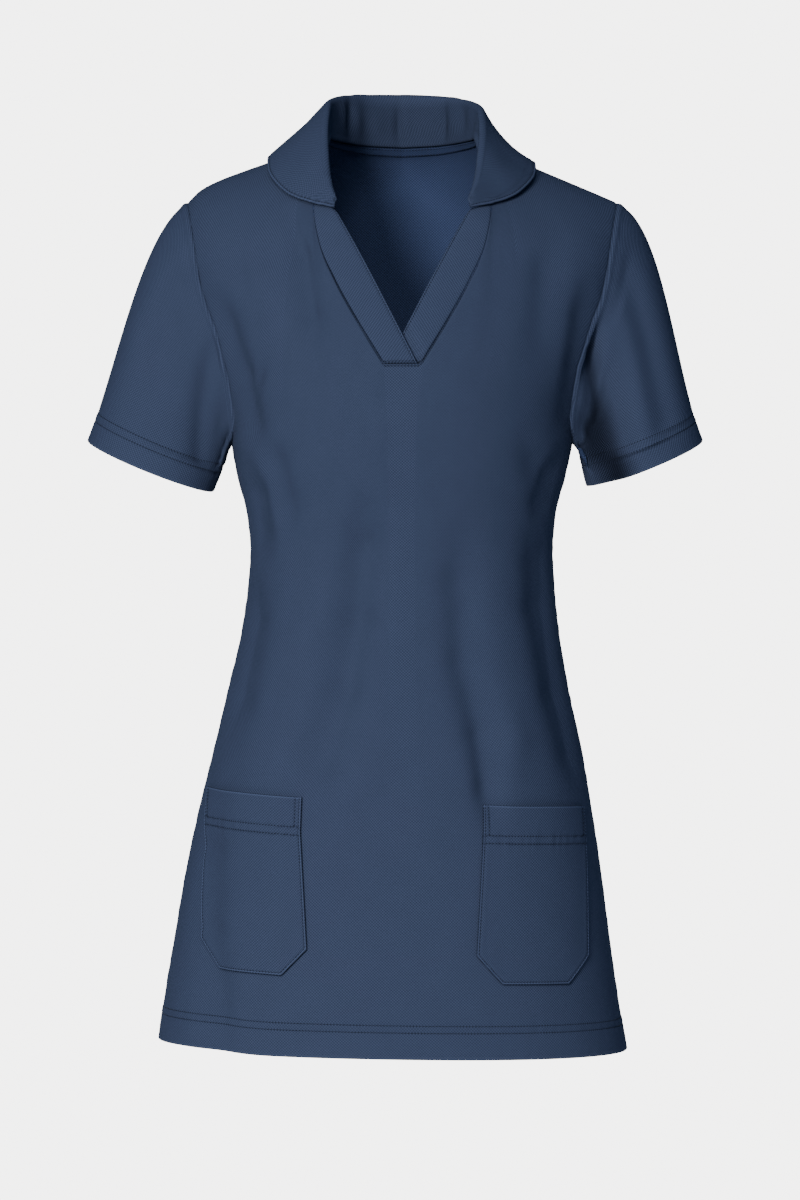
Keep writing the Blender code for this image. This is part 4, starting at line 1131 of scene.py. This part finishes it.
def pocket_places(side, starts, heights, distances):
    """Places on the front at the given distances outwards from each row's start."""
    steps = np.sin(np.linspace(0.0, math.pi / 2, POCKET_FINE))
    ends = POCKET_REACH * half_width(side, heights)
    x = side * lerp(starts[..., None], ends[..., None], steps)
    lines = on_body("front", x, heights[..., None])
    length = np.cumsum(np.linalg.norm(np.diff(lines, axis=2), axis=-1), axis=2)
    places = np.empty_like(heights)
    for i, j in np.ndindex(heights.shape):
        along = np.concatenate([[0.0], length[i, j]])
        places[i, j] = np.interp(distances[j], along, x[i, j])
    return places


def make_pocket(row, cloth, thread):
    """A patch with two cut-off corners, a turned top and stitches round its edge."""
    side, inner_x, top, top_slope, bottom, bottom_slope = row
    node = "pocket_right" if side < 0 else "pocket_left"
    tall = top - bottom
    across = graded(POCKET_WIDTH, POCKET_MARKS, POCKET_GRID[1])
    shares = graded(tall, POCKET_MARKS, POCKET_GRID[0]) / tall
    from_corner = np.minimum(across, POCKET_WIDTH - across)
    cut = np.clip(POCKET_BEVEL - from_corner, 0.0, None)
    low = bottom + bottom_slope * across + cut
    high = top + top_slope * across
    heights = lerp(low, high, shares[:, None])
    starts = inner_x + POCKET_LEAN * (heights - top)
    grid = on_body("front", pocket_places(side, starts, heights, across), heights)
    level = np.sin(math.pi * across / POCKET_WIDTH)
    raised = POCKET_LIES + POCKET_GAPE * shares[:, None] ** 3 * level
    flat_up = lerp(low, high, shares[:, None]) - (bottom + bottom_slope * across)
    flat_down = (1 - shares[:, None]) * (high - low)
    wide = np.broadcast_to(across, flat_up.shape)
    aside = np.minimum(wide, POCKET_WIDTH - wide)
    bevel = (aside + flat_up - POCKET_BEVEL) / math.sqrt(2)
    edge = np.clip(np.minimum(aside, np.minimum(flat_up, bevel)), 0.0, None)
    short = np.abs(aside - POCKET_SHORT)
    # the grooves of the stitch rows, and painted shade along them
    lift, painted_light_and_shade = (
        line(edge - EDGE_STITCH) * (flat_down > ROW_CLEAR)
        + line(flat_down, POCKET_ROWS)
        + line(short) * (flat_down < POCKET_ROWS[0])
        for line in (grooved, sewn)
    )
    lift = lift + pucker("pocket_top", wide, flat_down, side)
    lift = lift + pucker("pocket_edge", flat_up + wide, edge)
    grid = grid + front_normals(grid) * (raised + lift)[..., None]
    normals = front_normals(grid)
    border = np.clip((POCKET_BORDER - edge) / SOFT_STEP, 0.0, 1.0)
    full = lerp(SINGLE, DOUBLE, turned(flat_down, POCKET_ROWS))
    full = np.maximum(full, lerp(SINGLE, POCKET_BORDER_WALL * DOUBLE, border))
    wall = np.minimum(rounded(flat_down, full), rounded(edge, full))
    # painted highlights along the edges and the turned top, and painted shadows on their rims
    painted_light_and_shade = painted_light_and_shade + edge_highlight_and_shadow(edge) + edge_highlight_and_shadow(flat_down)
    piece = shell(node + "_cloth", node, grid, wall, normals, cloth, painted_light_and_shade, level=-1)
    outer = grid + normals * wall[..., None] / 2

    def on_pocket(a, b):
        """A place on the outer face from distances across and up the flat pocket."""
        column = np.interp(a, across, np.arange(len(across)))
        lowest = np.clip(POCKET_BEVEL - np.minimum(a, POCKET_WIDTH - a), 0.0, None)
        highest = (top - bottom) + (top_slope - bottom_slope) * a
        share = (b - lowest) / (highest - lowest)
        line = np.interp(share, shares, np.arange(len(shares)))
        return blended(outer, line, column), blended(normals, line, column)

    inside = EDGE_STITCH
    corner = POCKET_BEVEL + inside * (math.sqrt(2) - 1)
    height = tall + (top_slope - bottom_slope) * POCKET_WIDTH / 2
    route = [(inside, height - ROW_CLEAR), (inside, corner), (corner, inside)]
    route += [(POCKET_WIDTH - a, b) for a, b in route[::-1]]
    lines = [on_pocket(*walked(a, b)) for a, b in zip(route[:-1], route[1:])]
    for down in POCKET_ROWS:
        a = np.linspace(inside, POCKET_WIDTH - inside, WALK_STEPS)
        b = tall + (top_slope - bottom_slope) * a - down
        lines.append(on_pocket(a, b))
    for a in (POCKET_SHORT, POCKET_WIDTH - POCKET_SHORT):
        highest = tall + (top_slope - bottom_slope) * a
        ends = (a, highest - ROW_CLEAR), (a, highest - POCKET_ROWS[0])
        lines.append(on_pocket(*walked(*ends)))
    return piece, stitches(node + "_stitches", lines, thread)


def walked(a, b):
    """Places along a straight stretch of a flat pattern."""
    t = np.linspace(0.0, 1.0, ROUTE_STEPS)
    return lerp(a[0], b[0], t), lerp(a[1], b[1], t)


def graded(length, marks, count):
    """Distances along a length: set ones near both ends, and even ones between."""
    marks = np.array(marks)
    middle = np.linspace(marks[-1], length - marks[-1], count + 1)[1:-1]
    return np.concatenate([marks, middle, (length - marks)[::-1]])


def blended(values, row, column):
    """Values of a grid between its points."""
    i = np.clip(np.floor(row).astype(int), 0, len(values) - 2)
    j = np.clip(np.floor(column).astype(int), 0, values.shape[1] - 2)
    s, t = (row - i)[:, None], (column - j)[:, None]
    low = lerp(values[i, j], values[i, j + 1], t)
    high = lerp(values[i + 1, j], values[i + 1, j + 1], t)
    return lerp(low, high, s)


def new_material(name):
    material = bpy.data.materials.new(name)
    material.use_nodes = True
    return material, material.node_tree.nodes, material.node_tree.links


def settings(node, values):
    for name, value in values.items():
        node.inputs[name].default_value = value
    return node


def noise(nodes, links, vector, scale, detail=2.0):
    node = settings(nodes.new("ShaderNodeTexNoise"), {"Scale": scale, "Detail": detail})
    links.new(vector, node.inputs["Vector"])
    return node.outputs["Fac"]


def knit_material(name, painted_light_tint=(1.0, 1.0, 1.0)):
    """Cotton pique: fine slanting ribs in relief, with a soft sheen."""
    material, nodes, links = new_material(name)
    shader = nodes["Principled BSDF"]

    def math_node(operation, *values):
        node = nodes.new("ShaderNodeMath")
        node.operation = operation
        for socket, value in zip(node.inputs, values):
            if isinstance(value, (int, float)):
                socket.default_value = value
            else:
                links.new(value, socket)
        return node.outputs[0]

    def wave(value, period):
        return math_node("SINE", math_node("MULTIPLY", value, 2 * math.pi / period))

    uv = nodes.new("ShaderNodeUVMap")
    uv.uv_map = "cloth"
    place = uv.outputs["UV"]
    parts = nodes.new("ShaderNodeSeparateXYZ")
    links.new(place, parts.inputs[0])
    u, v = parts.outputs["X"], parts.outputs["Y"]
    ribs = wave(math_node("ADD", math_node("MULTIPLY", u, RIB_SLOPE), v), RIB_PERIOD)
    cells = wave(math_node("SUBTRACT", u, v), CELL_PERIOD)
    relief = math_node("ADD", ribs, math_node("MULTIPLY", cells, CELL_SHARE))
    flecks = math_node("SUBTRACT", noise(nodes, links, place, SPECKLE_SCALE), 0.5)
    relief = math_node("ADD", relief, math_node("MULTIPLY", flecks, FLECK_SHARE))

    cloud = noise(nodes, links, place, CLOUD_SCALE, 3.0)
    # the pieces' painted highlights and painted shade, added to the shade of the colour
    painted_light_and_shade = nodes.new("ShaderNodeAttribute")
    painted_light_and_shade.attribute_name = "painted_light_and_shade"
    shade = math_node("MULTIPLY", relief, RIB_SHADE)
    shade = math_node("ADD", shade, math_node("MULTIPLY", cloud, CLOUD_SHADE))
    shade = math_node("ADD", shade, 1.0 - CLOUD_SHADE / 2)
    shade = math_node("ADD", shade, painted_light_and_shade.outputs["Fac"])
    mix = nodes.new("ShaderNodeMix")
    mix.data_type = "RGBA"
    mix.blend_type = "MULTIPLY"
    settings(mix, {"Factor": 1.0, "A": (*(np.array(NAVY) * painted_light_tint), 1.0)})
    links.new(math_node("MAXIMUM", shade, DARKEST), mix.inputs["B"])
    links.new(mix.outputs["Result"], shader.inputs["Base Color"])
    rough = math_node("MULTIPLY_ADD", relief, ROUGHNESS_DIP, ROUGHNESS)
    links.new(rough, shader.inputs["Roughness"])
    low_relief = nodes.new("ShaderNodeBump")
    settings(low_relief, {"Strength": RELIEF_STRENGTH, "Distance": RIB_RELIEF})
    links.new(relief, low_relief.inputs["Height"])
    links.new(low_relief.outputs["Normal"], shader.inputs["Normal"])
    settings(shader, {"Metallic": 0.0, "Specular IOR Level": 0.0, "Sheen Weight": SHEEN,
                      "Sheen Roughness": SHEEN_ROUGHNESS, "Sheen Tint": SHEEN_TINT})
    return material


def thread_material():
    """Twisted sewing thread, painted darker than the cloth as painted shade in the stitch holes.
    """
    material, nodes, links = new_material("navy_thread")
    shader = nodes["Principled BSDF"]
    place = nodes.new("ShaderNodeTexCoord").outputs["Object"]
    ramp = nodes.new("ShaderNodeValToRGB")
    for end, share in zip(ramp.color_ramp.elements, THREAD_PAINTED_SHADES):
        end.color = (*(np.array(NAVY) * share), 1.0)
    links.new(noise(nodes, links, place, THREAD_TWIST), ramp.inputs["Fac"])
    links.new(ramp.outputs["Color"], shader.inputs["Base Color"])
    settings(shader, {"Roughness": 0.8, "Specular IOR Level": 0.05})
    return material


def make_stage():
    """A pale round floor under the shirt, well clear of it."""
    turn = np.linspace(0.0, 2 * math.pi, FLOOR_SIDES, endpoint=False)
    x, y = FLOOR_RADIUS * np.cos(turn), FLOOR_RADIUS * np.sin(turn)
    points = np.stack([x, y, np.full(FLOOR_SIDES, FLOOR_HEIGHT)], axis=-1)
    material, nodes, _ = new_material("pale_floor")
    colour = (*FLOOR_COLOUR, 1.0)
    settings(nodes["Principled BSDF"], {"Base Color": colour, "Roughness": 0.9})
    faces = [list(range(FLOOR_SIDES))]
    floor = mesh_piece("studio_floor", points.tolist(), faces, material)


def linked(name, data, place=(0.0, 0.0, 0.0)):
    item = bpy.data.objects.new(name, data)
    item.location = place
    bpy.context.scene.collection.objects.link(item)
    return item


def make_light(name, place, aim, size, power, colour):
    data = bpy.data.lights.new(name, "AREA")
    data.shape = "DISK"
    data.size = size
    data.energy = power
    data.color = colour
    light = linked(name, data, place)
    light.rotation_euler = (Vector(aim) - Vector(place)).to_track_quat("-Z", "Y").to_euler()


def make_camera():
    data = bpy.data.cameras.new("camera")
    data.sensor_width = SENSOR
    data.lens = LENS
    camera = linked("camera", data, CAMERA_PLACE)
    camera.rotation_euler = (math.pi / 2, 0.0, 0.0)
    bpy.context.scene.camera = camera


def make_world():
    """A pale surround to look at, and a weaker and bluer one to light the shirt."""
    world = bpy.data.worlds.new("studio")
    world.use_nodes = True
    nodes, links = world.node_tree.nodes, world.node_tree.links
    lighting, seen = nodes["Background"], nodes.new("ShaderNodeBackground")
    settings(lighting, {"Color": (*WORLD_COLOUR, 1.0), "Strength": WORLD_STRENGTH})
    settings(seen, {"Color": (*SURROUND_COLOUR, 1.0), "Strength": SURROUND_STRENGTH})
    path, either = nodes.new("ShaderNodeLightPath"), nodes.new("ShaderNodeMixShader")
    links.new(path.outputs["Is Camera Ray"], either.inputs[0])
    links.new(lighting.outputs[0], either.inputs[1])
    links.new(seen.outputs[0], either.inputs[2])
    links.new(either.outputs[0], nodes["World Output"].inputs["Surface"])
    bpy.context.scene.world = world


def main():
    # the inside copy of the knit is painted lighter and bluer: painted light
    cloth = (knit_material("navy_pique"), knit_material("navy_pique_inside_painted_light", INSIDE_PAINTED_LIGHT))
    thread = thread_material()
    grids = {panel: panel_grid(panel) for panel in ("front", "back")}
    made = {panel: make_panel(panel, grids[panel], cloth, thread) for panel in grids}
    for side, name in ((-1, "sleeve_right"), (1, "sleeve_left")):
        made[name] = make_sleeve(side, grids, cloth, thread)
    bands = {side: band_middle(side, grids["front"]) for side in (-1, 1)}
    for side, name in ((-1, "neck_band_right"), (1, "neck_band_left")):
        made[name] = make_band(side, bands[side], cloth, thread)
    made["back_neck_tape"] = make_tape(grids["back"], cloth[::-1], thread)
    tree = surface_tree(grids["front"], grids["back"], bands[-1], bands[1])
    made["collar"] = make_collar(tree, cloth[:1] * 2, thread)
    for row, name in zip(POCKETS, ("pocket_right", "pocket_left")):
        made[name] = make_pocket(row, cloth, thread)
    make_stage()
    for light in LIGHTS:
        make_light(*light)
    make_world()
    make_camera()


main()
